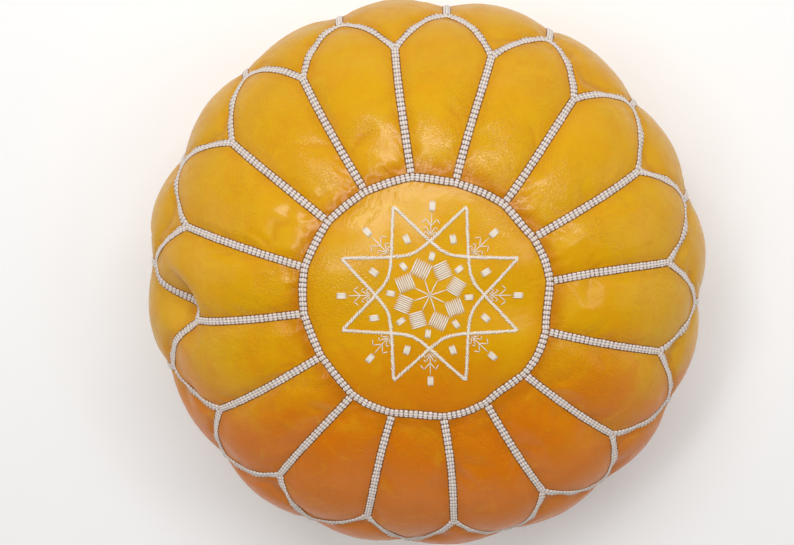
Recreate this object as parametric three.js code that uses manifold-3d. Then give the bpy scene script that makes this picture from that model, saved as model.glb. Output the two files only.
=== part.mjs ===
// A round hand-sewn leather floor pouf, in millimetres, +Z up, origin at the centre of its base.
// The cover is a medallion, a ring of petals, a ring of side panels and two base halves joined by a zip.
// The panels lie edge to edge on one rounded body surface, and bands of thick thread cover the seams.
import * as THREE from 'three';
import { mergeVertices } from 'three/addons/utils/BufferGeometryUtils.js';
import Module from 'manifold-3d';

const wasm = await Module();
wasm.setup();

// ---- driving dimensions ----
const HEIGHT = 330;
const SEAM_RADIUS = 274; // of the seam surface at its widest, at half height
const CROWN_ROUNDNESS = 2.25; // exponent of the upper profile, 2 is an ellipse
const SKIRT_ROUNDNESS = 2.2; // exponent of the lower profile
const BASE_FLAT_RADIUS = 188; // where the base stops being flat
const PETALS = 16;
const FIRST_SEAM_DEG = 7.3; // direction of the first petal seam from +X
const RING_RADIUS = 109.5; // seam between medallion and petals
const NOTCH_RADIUS = 228; // where two petals and a side panel meet
const APEX_RADIUS = 262.5; // outermost point of a petal
const BASE_SEAM_RADIUS = 206; // seam between side panels and base
const BASE_RIM_RADIUS = 200.3; // edge of the base leather
const SCALLOP_POWER = 1.6; // 1 is a straight-sided tip, 2 is round

const LEATHER = 2.2;
const PANEL_SWELL = 5; // how far the middle of a panel stands out from its seams
const MEDALLION_SWELL = 3;
const BAND_HALF = 3.5; // half the width of a stitched seam band
const BAND_TOP = 1.2;
const BAND_BOTTOM = -1.9;
const GAP = 0.35; // between pieces that touch
const INSET = BAND_HALF + GAP;

const THREAD_HALF = 1.4;
const THREAD_LOW = 0.35;
const THREAD_HIGH = 1.2;
const STAR_TIPS = 8;
const STAR_RADIUS = 85;
const STAR_TURN_DEG = 22.5;
const ROSETTE_RADIUS = 24.5;
const ROSETTE_BLOCK = 13.8; // side of one satin-stitched square
const ROSETTE_OVERLAP = 1.1; // lets the corners of neighbouring squares meet

const LINER_DEPTH = 6.5; // liner's outer face, below the seam surface
const LINER_THICKNESS = 1;
const LINER_FLOOR = 13;
const LINER_MOUTH_RADIUS = 60;
const STUFFING_DEPTH = 8.2;
const STUFFING_FLOOR = 14.5;

const ZIP_HALF_LENGTH = 130; // of the row of teeth
const ZIP_PITCH = 5;
const ZIP_HEIGHT = 8; // of the middle of the tape and teeth above the floor
const TOOTH_HEIGHT = 3.2;
const TOOTH_WIDTH = 1.8;
const TOOTH_TIP = 0.9; // distance from the zip's centre line
const RAIL_INNER = 2.6;
const RAIL_OUTER = 3.6;
const TAPE_THICKNESS = 0.7;
const TAPE_OUTER = 18;
const TAPE_END = ZIP_HALF_LENGTH + 20;
const LEATHER_EDGE = 5.6; // distance of the cut leather from the zip's centre line
const ZIP_LIFT = 5; // how far the base rises along the zip
const LIFT_FLAT = 13; // the lifted strip is flat this far from the centre line
const LIFT_EDGE = 34; // and is down on the floor here
const LIPS_START = ZIP_HALF_LENGTH + 26; // where the two cut edges begin to close up
const LIPS_CLOSED = ZIP_HALF_LENGTH + 44;
const LIFT_START = ZIP_HALF_LENGTH + 27; // where the lifted strip begins to sink
const LIFT_END = ZIP_HALF_LENGTH + 47;

const SLIDER_LENGTH = 15;
const SLIDER_HALF_WIDTH = 5;
const SLIDER_NECK_HALF_WIDTH = 3.9;
const PLATE = 1.2;
const SLIDER_CLEARANCE = 0.35;
const BLADE_HALF_WIDTH = 0.45;
const BLADE_LENGTH = 4;
const SLIDER_REST_X = ZIP_HALF_LENGTH - SLIDER_LENGTH / 2;
const BRIDGE_HALF_WIDTH = 1;
const BRIDGE_HALF_LENGTH = 4;
const BRIDGE_LEG = 1.2;
const BRIDGE_CLEAR = 2;
const BRIDGE_BAR = 1.1;
const PULL_LENGTH = 30;
const PULL_EYE_LENGTH = 6.4;
const PULL_EYE_HALF_WIDTH = 1.5;

const MUSTARD = 0xe0a500;
const DULL_MUSTARD = 0xc9900f;
const THREAD_WHITE = 0xe9e4de;
const CALICO = 0xe6dcc6;
const COTTON_FILL = 0xf1ede4;
const BRASS = 0xb8913f;
const TAPE_TAN = 0xb98a35;

const pouf = new THREE.Group();

function material(color, roughness, metalness = 0) {
  return new THREE.MeshStandardMaterial({ color, roughness, metalness });
}

function addPiece(name, geometry, finish) {
  const mesh = new THREE.Mesh(geometry, finish);
  mesh.name = name;
  pouf.add(mesh);
  return mesh;
}

// ---- the body surface ----
// Half of the body's outline, from the top of the axis to the middle of the base, as points with arc length.
function bodyOutline() {
  const steps = 400;
  const half = HEIGHT / 2;
  const points = [];
  for (let i = 0; i <= steps; i++) {
    const angle = (Math.PI / 2) * (i / steps);
    const r = SEAM_RADIUS * Math.pow(Math.sin(angle), 2 / CROWN_ROUNDNESS);
    const z = half + half * Math.pow(Math.cos(angle), 2 / CROWN_ROUNDNESS);
    points.push(new THREE.Vector2(r, z));
  }
  for (let i = 1; i <= steps; i++) {
    const angle = (Math.PI / 2) * (i / steps);
    const reach = SEAM_RADIUS - BASE_FLAT_RADIUS;
    const r = BASE_FLAT_RADIUS + reach * Math.pow(Math.cos(angle), 2 / SKIRT_ROUNDNESS);
    const z = half - half * Math.pow(Math.sin(angle), 2 / SKIRT_ROUNDNESS);
    points.push(new THREE.Vector2(r, z));
  }
  points.push(new THREE.Vector2(0, 0));
  const arc = [0];
  for (let i = 1; i < points.length; i++) arc.push(arc[i - 1] + points[i].distanceTo(points[i - 1]));
  return { points, arc };
}

const OUTLINE = bodyOutline();
const WIDEST = OUTLINE.points.findIndex((p) => p.y <= HEIGHT / 2 + 1e-9);

function outlineSegment(s) {
  let low = 0;
  let high = OUTLINE.arc.length - 1;
  while (high - low > 1) {
    const middle = (low + high) >> 1;
    if (OUTLINE.arc[middle] <= s) low = middle;
    else high = middle;
  }
  return low;
}

// The outline's point at arc length s, with its outward normal.
function outlineAt(s) {
  const i = outlineSegment(s);
  const along = (s - OUTLINE.arc[i]) / (OUTLINE.arc[i + 1] - OUTLINE.arc[i]);
  const point = OUTLINE.points[i].clone().lerp(OUTLINE.points[i + 1], along);
  const span = 4;
  const before = OUTLINE.points[Math.max(i - span, 0)];
  const after = OUTLINE.points[Math.min(i + 1 + span, OUTLINE.points.length - 1)];
  const tangent = after.clone().sub(before).normalize();
  return { r: point.x, z: point.y, nr: -tangent.y, nz: tangent.x };
}

// The arc length at which the upper or the lower outline has radius r.
function arcAtRadius(r, upper) {
  let low = upper ? 0 : OUTLINE.arc[WIDEST];
  let high = upper ? OUTLINE.arc[WIDEST] : OUTLINE.arc[OUTLINE.arc.length - 1];
  for (let i = 0; i < 50; i++) {
    const middle = (low + high) / 2;
    if (outlineAt(middle).r < r === upper) low = middle;
    else high = middle;
  }
  return (low + high) / 2;
}

const S_RING = arcAtRadius(RING_RADIUS, true);
const S_NOTCH = arcAtRadius(NOTCH_RADIUS, true);
const S_APEX = arcAtRadius(APEX_RADIUS, true);
const S_BASE = arcAtRadius(BASE_SEAM_RADIUS, false);
const SECTOR = (2 * Math.PI) / PETALS;

// A point of the body surface, raised along its normal.
function onBody(theta, s, raise) {
  const at = outlineAt(s);
  const r = at.r + raise * at.nr;
  return new THREE.Vector3(r * Math.cos(theta), r * Math.sin(theta), at.z + raise * at.nz);
}

// A point of the body surface over the plan position x, y near the top.
function onTop(x, y, raise) {
  return onBody(Math.atan2(y, x), arcAtRadius(Math.hypot(x, y), true), raise);
}

function seamAngle(index) {
  return THREE.MathUtils.degToRad(FIRST_SEAM_DEG) + index * SECTOR;
}

// The petals' scalloped edge: arc length at the share t of the way from one notch to the next.
function scallopArc(t) {
  const reach = 1 - Math.pow(Math.abs(2 * t - 1), SCALLOP_POWER);
  return arcAtRadius(NOTCH_RADIUS + (APEX_RADIUS - NOTCH_RADIUS) * reach, true);
}

// ---- closed meshes ----
function geometryFrom(points, triangles) {
  const positions = points.flatMap((p) => [p.x, p.y, p.z]);
  let volume = 0;
  for (const [a, b, c] of triangles) {
    volume += points[a].dot(points[b].clone().cross(points[c]));
  }
  const order = volume < 0 ? triangles.map(([a, b, c]) => [a, c, b]) : triangles;
  const geometry = new THREE.BufferGeometry();
  geometry.setAttribute('position', new THREE.Float32BufferAttribute(positions, 3));
  geometry.setIndex(order.flat());
  return geometry;
}

// A thin closed skin between two grids of points, each (rows + 1) by (columns + 1).
function skinGeometry(outer, inner, columns, rows) {
  const width = columns + 1;
  const back = outer.length;
  const triangles = [];
  const quad = (a, b, c, d) => triangles.push([a, b, c], [a, c, d]);
  for (let j = 0; j < rows; j++) {
    for (let i = 0; i < columns; i++) {
      const a = j * width + i;
      quad(a, a + 1, a + width + 1, a + width);
      quad(back + a, back + a + width, back + a + width + 1, back + a + 1);
    }
  }
  const rim = [];
  for (let i = 0; i < columns; i++) rim.push(i);
  for (let j = 0; j < rows; j++) rim.push(j * width + columns);
  for (let i = columns; i > 0; i--) rim.push(rows * width + i);
  for (let j = rows; j > 0; j--) rim.push(j * width);
  rim.forEach((a, i) => {
    const b = rim[(i + 1) % rim.length];
    quad(b, a, back + a, back + b);
  });
  return geometryFrom([...outer, ...inner], triangles);
}

// A bar through a row of four-cornered sections, closed into a ring or capped at both ends.
function barGeometry(sections, closed) {
  const corners = 4;
  const triangles = [];
  const last = closed ? sections.length : sections.length - 1;
  for (let i = 0; i < last; i++) {
    const here = i * corners;
    const next = ((i + 1) % sections.length) * corners;
    for (let k = 0; k < corners; k++) {
      const m = (k + 1) % corners;
      triangles.push([here + k, here + m, next + m], [here + k, next + m, next + k]);
    }
  }
  if (!closed) {
    const end = (sections.length - 1) * corners;
    triangles.push([0, 2, 1], [0, 3, 2], [end, end + 1, end + 2], [end, end + 2, end + 3]);
  }
  return geometryFrom(sections.flat(), triangles);
}

// Moves the points of a path on the body sideways by a distance, mitred at its corners.
function offsetPath(path, distance, closed = false) {
  const radius = path.map((p) => outlineAt(p.s).r);
  const count = path.length;
  const step = (i, k) => {
    const a = closed ? (i + count) % count : i;
    const b = closed ? (k + count) % count : k;
    const r = (radius[a] + radius[b]) / 2;
    const ahead = path[b].theta - path[a].theta;
    const turn = Math.atan2(Math.sin(ahead), Math.cos(ahead));
    return new THREE.Vector2(turn * r, path[b].s - path[a].s).normalize();
  };
  return path.map((p, i) => {
    const hasBefore = closed || i > 0;
    const hasAfter = closed || i < count - 1;
    const before = hasBefore ? step(i - 1, i) : step(i, i + 1);
    const after = hasAfter ? step(i, i + 1) : before;
    const side = new THREE.Vector2(-before.y - after.y, before.x + after.x).normalize();
    const mitre = side.dot(new THREE.Vector2(-before.y, before.x));
    const shift = side.multiplyScalar(distance / mitre);
    return { theta: p.theta + shift.x / radius[i], s: p.s + shift.y };
  });
}

function bandGeometry(path, closed = false) {
  const left = offsetPath(path, BAND_HALF, closed);
  const right = offsetPath(path, -BAND_HALF, closed);
  const sections = path.map((p, i) => [
    onBody(left[i].theta, left[i].s, BAND_BOTTOM),
    onBody(right[i].theta, right[i].s, BAND_BOTTOM),
    onBody(right[i].theta, right[i].s, BAND_TOP),
    onBody(left[i].theta, left[i].s, BAND_TOP),
  ]);
  return barGeometry(sections, closed);
}

function solidFrom(geometry) {
  const bare = geometry.clone();
  bare.deleteAttribute('normal');
  bare.deleteAttribute('uv');
  const merged = mergeVertices(bare, 1e-5);
  const vertProperties = new Float32Array(merged.attributes.position.array);
  const triVerts = new Uint32Array(merged.index.array);
  return new wasm.Manifold(new wasm.Mesh({ numProp: 3, vertProperties, triVerts }));
}

function joined(geometries) {
  const solid = geometries.map(solidFrom).reduce((whole, piece) => whole.add(piece));
  const mesh = solid.getMesh();
  const geometry = new THREE.BufferGeometry();
  geometry.setAttribute('position', new THREE.BufferAttribute(mesh.vertProperties, 3));
  geometry.setIndex(new THREE.BufferAttribute(mesh.triVerts, 1));
  return geometry;
}

// ---- leather panels ----
const SCALLOP_STEPS = 6;

function between(low, high, share) {
  return low + (high - low) * share;
}

function arcPath(thetaFrom, thetaTo, s, steps) {
  return Array.from({ length: steps + 1 }, (_, i) => ({ theta: between(thetaFrom, thetaTo, i / steps), s }));
}

function scallopPath(index) {
  return Array.from({ length: SCALLOP_STEPS + 1 }, (_, i) => {
    const t = i / SCALLOP_STEPS;
    return { theta: seamAngle(index) + t * SECTOR, s: scallopArc(t) };
  });
}

// A leather panel between an upper and a lower edge with the same number of points, drawn in from its seams.
function panelGeometry(upper, lower, rows) {
  const outline = offsetPath([...upper, ...[...lower].reverse()], INSET, true);
  const columns = upper.length - 1;
  const top = outline.slice(0, columns + 1);
  const bottom = outline.slice(columns + 1).reverse();
  const outer = [];
  const inner = [];
  for (let j = 0; j <= rows; j++) {
    for (let i = 0; i <= columns; i++) {
      const v = j / rows;
      const theta = between(top[i].theta, bottom[i].theta, v);
      const s = between(top[i].s, bottom[i].s, v);
      const swell = PANEL_SWELL * Math.pow(Math.sin(Math.PI * v) * Math.sin((Math.PI * i) / columns), 0.6);
      outer.push(onBody(theta, s, swell));
      inner.push(onBody(theta, s, swell - LEATHER));
    }
  }
  return skinGeometry(outer, inner, columns, rows);
}

function petalGeometry(index) {
  const ring = arcPath(seamAngle(index), seamAngle(index + 1), S_RING, SCALLOP_STEPS);
  return panelGeometry(ring, scallopPath(index), 3);
}

// A side panel hangs between two petal tips and points up into the notch between them.
function sidePanelGeometry(index) {
  const half = SCALLOP_STEPS / 2;
  const upper = [...scallopPath(index - 1).slice(half), ...scallopPath(index).slice(1, half + 1)];
  const lower = arcPath(upper[0].theta, upper[upper.length - 1].theta, S_BASE, SCALLOP_STEPS);
  return panelGeometry(upper, lower, 5);
}

function medallionGeometry() {
  const spokes = 48;
  const rings = 3;
  const edge = S_RING - INSET;
  const outer = [onBody(0, 0, MEDALLION_SWELL)];
  const inner = [onBody(0, 0, MEDALLION_SWELL - LEATHER)];
  for (let j = 1; j <= rings; j++) {
    for (let i = 0; i < spokes; i++) {
      const theta = (i / spokes) * 2 * Math.PI;
      const swell = medallionSwell((edge * j) / rings);
      outer.push(onBody(theta, (edge * j) / rings, swell));
      inner.push(onBody(theta, (edge * j) / rings, swell - LEATHER));
    }
  }
  const back = outer.length;
  const triangles = [];
  for (let i = 0; i < spokes; i++) {
    const k = (i + 1) % spokes;
    triangles.push([0, 1 + i, 1 + k], [back, back + 1 + k, back + 1 + i]);
    for (let j = 0; j < rings - 1; j++) {
      const a = 1 + j * spokes;
      const b = a + spokes;
      triangles.push([a + i, b + i, b + k], [a + i, b + k, a + k]);
      triangles.push([back + a + i, back + b + k, back + b + i], [back + a + i, back + a + k, back + b + k]);
    }
    const rim = 1 + (rings - 1) * spokes;
    triangles.push([rim + i, back + rim + i, back + rim + k], [rim + i, back + rim + k, rim + k]);
  }
  return geometryFrom([...outer, ...inner], triangles);
}

function medallionSwell(s) {
  return MEDALLION_SWELL * Math.cos((Math.PI / 2) * Math.min(s / (S_RING - INSET), 1));
}

// Height of the outer face of the base: flat on the floor, turned up at its edge and lifted along the zip.
function baseHeight(x, y) {
  const r = Math.hypot(x, y);
  const edge = r > BASE_FLAT_RADIUS ? outlineAt(arcAtRadius(r, false)).z : 0;
  const across = 1 - THREE.MathUtils.smoothstep(Math.abs(y), LIFT_FLAT, LIFT_EDGE);
  const along = 1 - THREE.MathUtils.smoothstep(Math.abs(x), LIFT_START, LIFT_END);
  return edge + ZIP_LIFT * across * along;
}

// Half of the base; side is -1 for the front half and 1 for the rear half.
function basePanelGeometry(side) {
  const columns = 14;
  const rowShares = [0, 0.05, 0.1, 0.17, 0.5, 0.85, 1];
  const outer = [];
  const inner = [];
  for (const v of rowShares) {
    for (let i = 0; i <= columns; i++) {
      const angle = THREE.MathUtils.degToRad(between(3, 177, i / columns));
      const x = BASE_RIM_RADIUS * Math.cos(angle);
      const closing = THREE.MathUtils.smoothstep(Math.abs(x), LIPS_START, LIPS_CLOSED);
      const cut = between(LEATHER_EDGE, GAP, closing);
      const y = side * between(cut, BASE_RIM_RADIUS * Math.sin(angle), v);
      outer.push(new THREE.Vector3(x, y, baseHeight(x, y)));
      inner.push(new THREE.Vector3(x, y, baseHeight(x, y) + LEATHER));
    }
  }
  return skinGeometry(outer, inner, columns, rowShares.length - 1);
}

// ---- stitched bands ----
const JUNCTION_OVERLAP = 1;
const APEX_CLEARANCE = 1.2; // beyond the usual gap, because the band turns a corner there

function radialPath(index, sFrom, sTo, steps) {
  const theta = seamAngle(index);
  return Array.from({ length: steps + 1 }, (_, i) => ({ theta, s: between(sFrom, sTo, i / steps) }));
}

function ringGeometry(s) {
  const steps = 48;
  return bandGeometry(arcPath(0, 2 * Math.PI, s, steps).slice(0, steps), true);
}

function petalNetGeometry() {
  const bands = [];
  for (let k = 0; k < PETALS; k++) {
    bands.push(bandGeometry(radialPath(k, S_RING + INSET, S_NOTCH + JUNCTION_OVERLAP, 3)));
    bands.push(bandGeometry(scallopPath(k)));
  }
  return joined(bands);
}

function sideNetGeometry() {
  const bands = [ringGeometry(S_BASE)];
  for (let k = 0; k < PETALS; k++) {
    const start = S_APEX + INSET + APEX_CLEARANCE;
    bands.push(bandGeometry(radialPath(k + 0.5, start, S_BASE - JUNCTION_OVERLAP, 5)));
  }
  return joined(bands);
}

// ---- embroidery on the medallion ----
function polar(radius, degrees) {
  const angle = THREE.MathUtils.degToRad(degrees);
  return new THREE.Vector2(radius * Math.cos(angle), radius * Math.sin(angle));
}

function threadGeometry(points) {
  const sections = points.map((p, i) => {
    const before = points[Math.max(i - 1, 0)];
    const after = points[Math.min(i + 1, points.length - 1)];
    const side = after.clone().sub(before).normalize().rotateAround(new THREE.Vector2(), Math.PI / 2);
    const left = p.clone().addScaledVector(side, THREAD_HALF);
    const right = p.clone().addScaledVector(side, -THREAD_HALF);
    return [overMedallion(left, THREAD_LOW), overMedallion(right, THREAD_LOW),
      overMedallion(right, THREAD_HIGH), overMedallion(left, THREAD_HIGH)];
  });
  return barGeometry(sections, false);
}

function overMedallion(point, raise) {
  const swell = medallionSwell(point.length());
  return onTop(point.x, point.y, swell + raise);
}

// Eight threads, each from one tip of the star round to the next tip but one.
function starGeometry() {
  const threads = [];
  const pitch = 360 / STAR_TIPS;
  for (let k = 0; k < STAR_TIPS; k++) {
    const tip = STAR_TURN_DEG + k * pitch;
    const waist = 0.57 * STAR_RADIUS;
    const curve = new THREE.SplineCurve([
      polar(STAR_RADIUS, tip),
      polar(waist, tip + pitch / 2),
      polar(0.48 * STAR_RADIUS, tip + pitch),
      polar(waist, tip + 1.5 * pitch),
      polar(STAR_RADIUS, tip + 2 * pitch),
    ]);
    threads.push(threadGeometry(curve.getPoints(6)));
  }
  return joined(threads);
}

// Eight satin-stitched squares set corner to corner round the centre.
function rosetteGeometry() {
  const blocks = [];
  const reach = (ROSETTE_BLOCK / Math.SQRT2) * ROSETTE_OVERLAP;
  for (let k = 0; k < STAR_TIPS; k++) {
    const middle = polar(ROSETTE_RADIUS, STAR_TURN_DEG + k * (360 / STAR_TIPS));
    const corners = [0, 90, 180, 270].map((turn) => {
      return middle.clone().add(polar(reach, STAR_TURN_DEG + k * (360 / STAR_TIPS) + turn));
    });
    const low = corners.map((c) => overMedallion(c, THREAD_LOW));
    const high = corners.map((c) => overMedallion(c, THREAD_HIGH));
    blocks.push(barGeometry([low, high], false));
  }
  return joined(blocks);
}

// ---- inside ----
function insidePoints(depth, floor) {
  const steps = 12;
  const last = arcAtRadius(BASE_FLAT_RADIUS, false);
  const points = [];
  for (let i = 0; i <= steps; i++) {
    const at = outlineAt((last * i) / steps);
    const r = Math.max(at.r - depth * at.nr, 0);
    points.push(new THREE.Vector2(i === 0 ? 0 : r, Math.max(at.z - depth * at.nz, floor)));
  }
  return points;
}

const LATHE_SEGMENTS = 28;

function linerGeometry() {
  const outside = insidePoints(LINER_DEPTH, LINER_FLOOR);
  const inside = insidePoints(LINER_DEPTH + LINER_THICKNESS, LINER_FLOOR + LINER_THICKNESS);
  const mouth = [
    new THREE.Vector2(LINER_MOUTH_RADIUS, LINER_FLOOR),
    new THREE.Vector2(LINER_MOUTH_RADIUS, LINER_FLOOR + LINER_THICKNESS),
  ];
  return latheGeometry([...outside, ...mouth, ...inside.reverse()]);
}

function stuffingGeometry() {
  const outline = insidePoints(STUFFING_DEPTH, STUFFING_FLOOR);
  return latheGeometry([...outline, new THREE.Vector2(0, STUFFING_FLOOR)]);
}

// Turns an outline in (radius, height) round the z axis.
function latheGeometry(points) {
  const lathe = new THREE.LatheGeometry(points, LATHE_SEGMENTS);
  lathe.rotateX(Math.PI / 2);
  lathe.deleteAttribute('normal');
  lathe.deleteAttribute('uv');
  return outward(dropFlatTriangles(mergeVertices(lathe, 1e-4)));
}

function dropFlatTriangles(geometry) {
  const index = [];
  const from = geometry.index.array;
  for (let i = 0; i < from.length; i += 3) {
    const [a, b, c] = [from[i], from[i + 1], from[i + 2]];
    if (a !== b && b !== c && c !== a) index.push(a, b, c);
  }
  geometry.setIndex(index);
  return geometry;
}

function outward(geometry) {
  const position = geometry.attributes.position;
  const pointAt = (i) => new THREE.Vector3().fromBufferAttribute(position, i);
  const points = Array.from({ length: position.count }, (_, i) => pointAt(i));
  const triangles = [];
  for (let i = 0; i < geometry.index.count; i += 3) {
    triangles.push([geometry.index.getX(i), geometry.index.getX(i + 1), geometry.index.getX(i + 2)]);
  }
  return geometryFrom(points, triangles);
}

// ---- the zip in the base ----
function boxGeometry(xFrom, xTo, yFrom, yTo, zFrom, zTo) {
  const box = new THREE.BoxGeometry(xTo - xFrom, yTo - yFrom, zTo - zFrom);
  return box.translate((xFrom + xTo) / 2, (yFrom + yTo) / 2, (zFrom + zTo) / 2);
}

function slab(shape, zFrom, thickness) {
  const geometry = new THREE.ExtrudeGeometry(shape, { depth: thickness, bevelEnabled: false, steps: 1 });
  return geometry.translate(0, 0, zFrom);
}

// A row of teeth on its rail; side is -1 for the front row and 1 for the rear row, half a pitch along.
function teethGeometry(side) {
  const start = -ZIP_HALF_LENGTH + (side > 0 ? ZIP_PITCH / 2 : 0);
  const count = Math.floor((2 * ZIP_HALF_LENGTH) / ZIP_PITCH);
  const outline = [new THREE.Vector2(start, side * RAIL_OUTER)];
  for (let i = 0; i < count; i++) {
    const x = start + i * ZIP_PITCH;
    outline.push(new THREE.Vector2(x, side * TOOTH_TIP));
    outline.push(new THREE.Vector2(x + TOOTH_WIDTH, side * TOOTH_TIP));
    if (i < count - 1) {
      outline.push(new THREE.Vector2(x + TOOTH_WIDTH, side * RAIL_INNER));
      outline.push(new THREE.Vector2(x + ZIP_PITCH, side * RAIL_INNER));
    }
  }
  outline.push(new THREE.Vector2(start + (count - 1) * ZIP_PITCH + TOOTH_WIDTH, side * RAIL_OUTER));
  return slab(new THREE.Shape(outline), ZIP_HEIGHT - TOOTH_HEIGHT / 2, TOOTH_HEIGHT);
}

function tapeGeometry(side) {
  const edges = [side * (RAIL_OUTER + GAP), side * TAPE_OUTER].sort((a, b) => a - b);
  const half = TAPE_THICKNESS / 2;
  return boxGeometry(-TAPE_END, TAPE_END, edges[0], edges[1], ZIP_HEIGHT - half, ZIP_HEIGHT + half);
}

function sliderPlateShape() {
  const half = SLIDER_LENGTH / 2;
  const shape = new THREE.Shape();
  shape.moveTo(-half, -SLIDER_HALF_WIDTH + 1.5);
  shape.quadraticCurveTo(-half, -SLIDER_HALF_WIDTH, -half + 1.5, -SLIDER_HALF_WIDTH);
  shape.lineTo(0, -SLIDER_HALF_WIDTH);
  shape.lineTo(half, -SLIDER_NECK_HALF_WIDTH);
  shape.lineTo(half, SLIDER_NECK_HALF_WIDTH);
  shape.lineTo(0, SLIDER_HALF_WIDTH);
  shape.lineTo(-half + 1.5, SLIDER_HALF_WIDTH);
  shape.quadraticCurveTo(-half, SLIDER_HALF_WIDTH, -half, SLIDER_HALF_WIDTH - 1.5);
  return shape;
}

const CHANNEL_HALF = TOOTH_HEIGHT / 2 + SLIDER_CLEARANCE;
const FLOOR_PLATE_Z = -CHANNEL_HALF - PLATE;
const HINGE_Z = FLOOR_PLATE_Z - BRIDGE_CLEAR / 2;

// Two plates joined by a thin blade between the rows of teeth, with a bridge below that holds the pull.
function sliderGeometry() {
  const half = SLIDER_LENGTH / 2;
  const flangeTip = TAPE_THICKNESS / 2 + SLIDER_CLEARANCE;
  const flangeIn = SLIDER_HALF_WIDTH - 0.9;
  const parts = [
    slab(sliderPlateShape(), CHANNEL_HALF, PLATE),
    slab(sliderPlateShape(), FLOOR_PLATE_Z, PLATE),
    boxGeometry(-half + 0.5, -half + BLADE_LENGTH, -BLADE_HALF_WIDTH, BLADE_HALF_WIDTH,
      -CHANNEL_HALF - PLATE / 2, CHANNEL_HALF + PLATE / 2),
  ];
  for (const side of [-1, 1]) {
    const edges = [side * flangeIn, side * SLIDER_HALF_WIDTH].sort((a, b) => a - b);
    parts.push(boxGeometry(-half + 2, 0, edges[0], edges[1], flangeTip, CHANNEL_HALF + PLATE / 2));
    parts.push(boxGeometry(-half + 2, 0, edges[0], edges[1], -CHANNEL_HALF - PLATE / 2, -flangeTip));
  }
  const barTop = FLOOR_PLATE_Z - BRIDGE_CLEAR;
  const barFoot = barTop - BRIDGE_BAR;
  parts.push(boxGeometry(-BRIDGE_HALF_LENGTH, BRIDGE_HALF_LENGTH, -BRIDGE_HALF_WIDTH, BRIDGE_HALF_WIDTH,
    barFoot, barTop));
  for (const side of [-1, 1]) {
    const legs = [side * (BRIDGE_HALF_LENGTH - BRIDGE_LEG), side * BRIDGE_HALF_LENGTH];
    const edges = legs.sort((a, b) => a - b);
    parts.push(boxGeometry(edges[0], edges[1], -BRIDGE_HALF_WIDTH, BRIDGE_HALF_WIDTH,
      barFoot + BRIDGE_BAR / 2, FLOOR_PLATE_Z + PLATE / 2));
  }
  return joined(parts);
}

// A flat tab with an eye; the eye's end bar runs through the slider's bridge at the hinge line.
function pullGeometry() {
  const bar = PLATE / 2;
  const root = PULL_EYE_HALF_WIDTH + 1.3;
  const tip = 4;
  const shape = new THREE.Shape();
  shape.moveTo(bar, -root);
  shape.lineTo(bar, root);
  shape.lineTo(-PULL_EYE_LENGTH - 2, root);
  shape.lineTo(-PULL_LENGTH + tip, tip);
  shape.absarc(-PULL_LENGTH + tip, 0, tip, Math.PI / 2, (3 * Math.PI) / 2, false);
  shape.lineTo(-PULL_EYE_LENGTH - 2, -root);
  const eye = new THREE.Path();
  eye.moveTo(-bar, -PULL_EYE_HALF_WIDTH);
  eye.lineTo(-PULL_EYE_LENGTH, -PULL_EYE_HALF_WIDTH);
  eye.lineTo(-PULL_EYE_LENGTH, PULL_EYE_HALF_WIDTH);
  eye.lineTo(-bar, PULL_EYE_HALF_WIDTH);
  shape.holes.push(eye);
  return new THREE.ExtrudeGeometry(shape, { depth: PLATE, bevelEnabled: false, steps: 1, curveSegments: 5 })
    .translate(0, 0, HINGE_Z - PLATE / 2);
}

// Small clamped stops that keep the slider on the chain: one across the open end, two at the closed end.
function stopGeometry(yFrom, yTo, xFrom) {
  const half = TOOTH_HEIGHT / 2;
  return boxGeometry(xFrom, xFrom + 3, yFrom, yTo, ZIP_HEIGHT - half, ZIP_HEIGHT + half);
}

// ---- assembly ----
const leather = () => material(MUSTARD, 0.42);
const thread = () => material(THREAD_WHITE, 0.9);
const brass = () => material(BRASS, 0.35, 1);

addPiece('medallion_panel', medallionGeometry(), leather());
for (let k = 0; k < PETALS; k++) {
  const number = String(k + 1).padStart(2, '0');
  addPiece(`petal_panel_${number}`, petalGeometry(k), leather());
  addPiece(`side_panel_${number}`, sidePanelGeometry(k), leather());
}
addPiece('base_panel_front', basePanelGeometry(-1), material(DULL_MUSTARD, 0.6));
addPiece('base_panel_rear', basePanelGeometry(1), material(DULL_MUSTARD, 0.6));
addPiece('medallion_ring_stitching', ringGeometry(S_RING), thread());
addPiece('petal_seam_stitching', petalNetGeometry(), thread());
addPiece('side_seam_stitching', sideNetGeometry(), thread());
addPiece('star_embroidery', starGeometry(), thread());
addPiece('rosette_embroidery', rosetteGeometry(), thread());
addPiece('inner_liner', linerGeometry(), material(CALICO, 0.95));
addPiece('stuffing', stuffingGeometry(), material(COTTON_FILL, 1));
addPiece('zip_tape_front', tapeGeometry(-1), material(TAPE_TAN, 0.9));
addPiece('zip_tape_rear', tapeGeometry(1), material(TAPE_TAN, 0.9));
addPiece('zip_teeth_front', teethGeometry(-1), brass());
addPiece('zip_teeth_rear', teethGeometry(1), brass());
const stopX = ZIP_HALF_LENGTH + 0.5;
addPiece('zip_stop_open_end', stopGeometry(-RAIL_OUTER, RAIL_OUTER, -stopX - 3), brass());
addPiece('zip_stop_front', stopGeometry(-RAIL_OUTER, -TOOTH_TIP, stopX), brass());
addPiece('zip_stop_rear', stopGeometry(TOOTH_TIP, RAIL_OUTER, stopX), brass());
addPiece('zip_slider', sliderGeometry(), brass()).position.set(SLIDER_REST_X, 0, ZIP_HEIGHT);
addPiece('zip_pull', pullGeometry(), brass()).position.set(SLIDER_REST_X, 0, ZIP_HEIGHT);

export default pouf;
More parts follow.
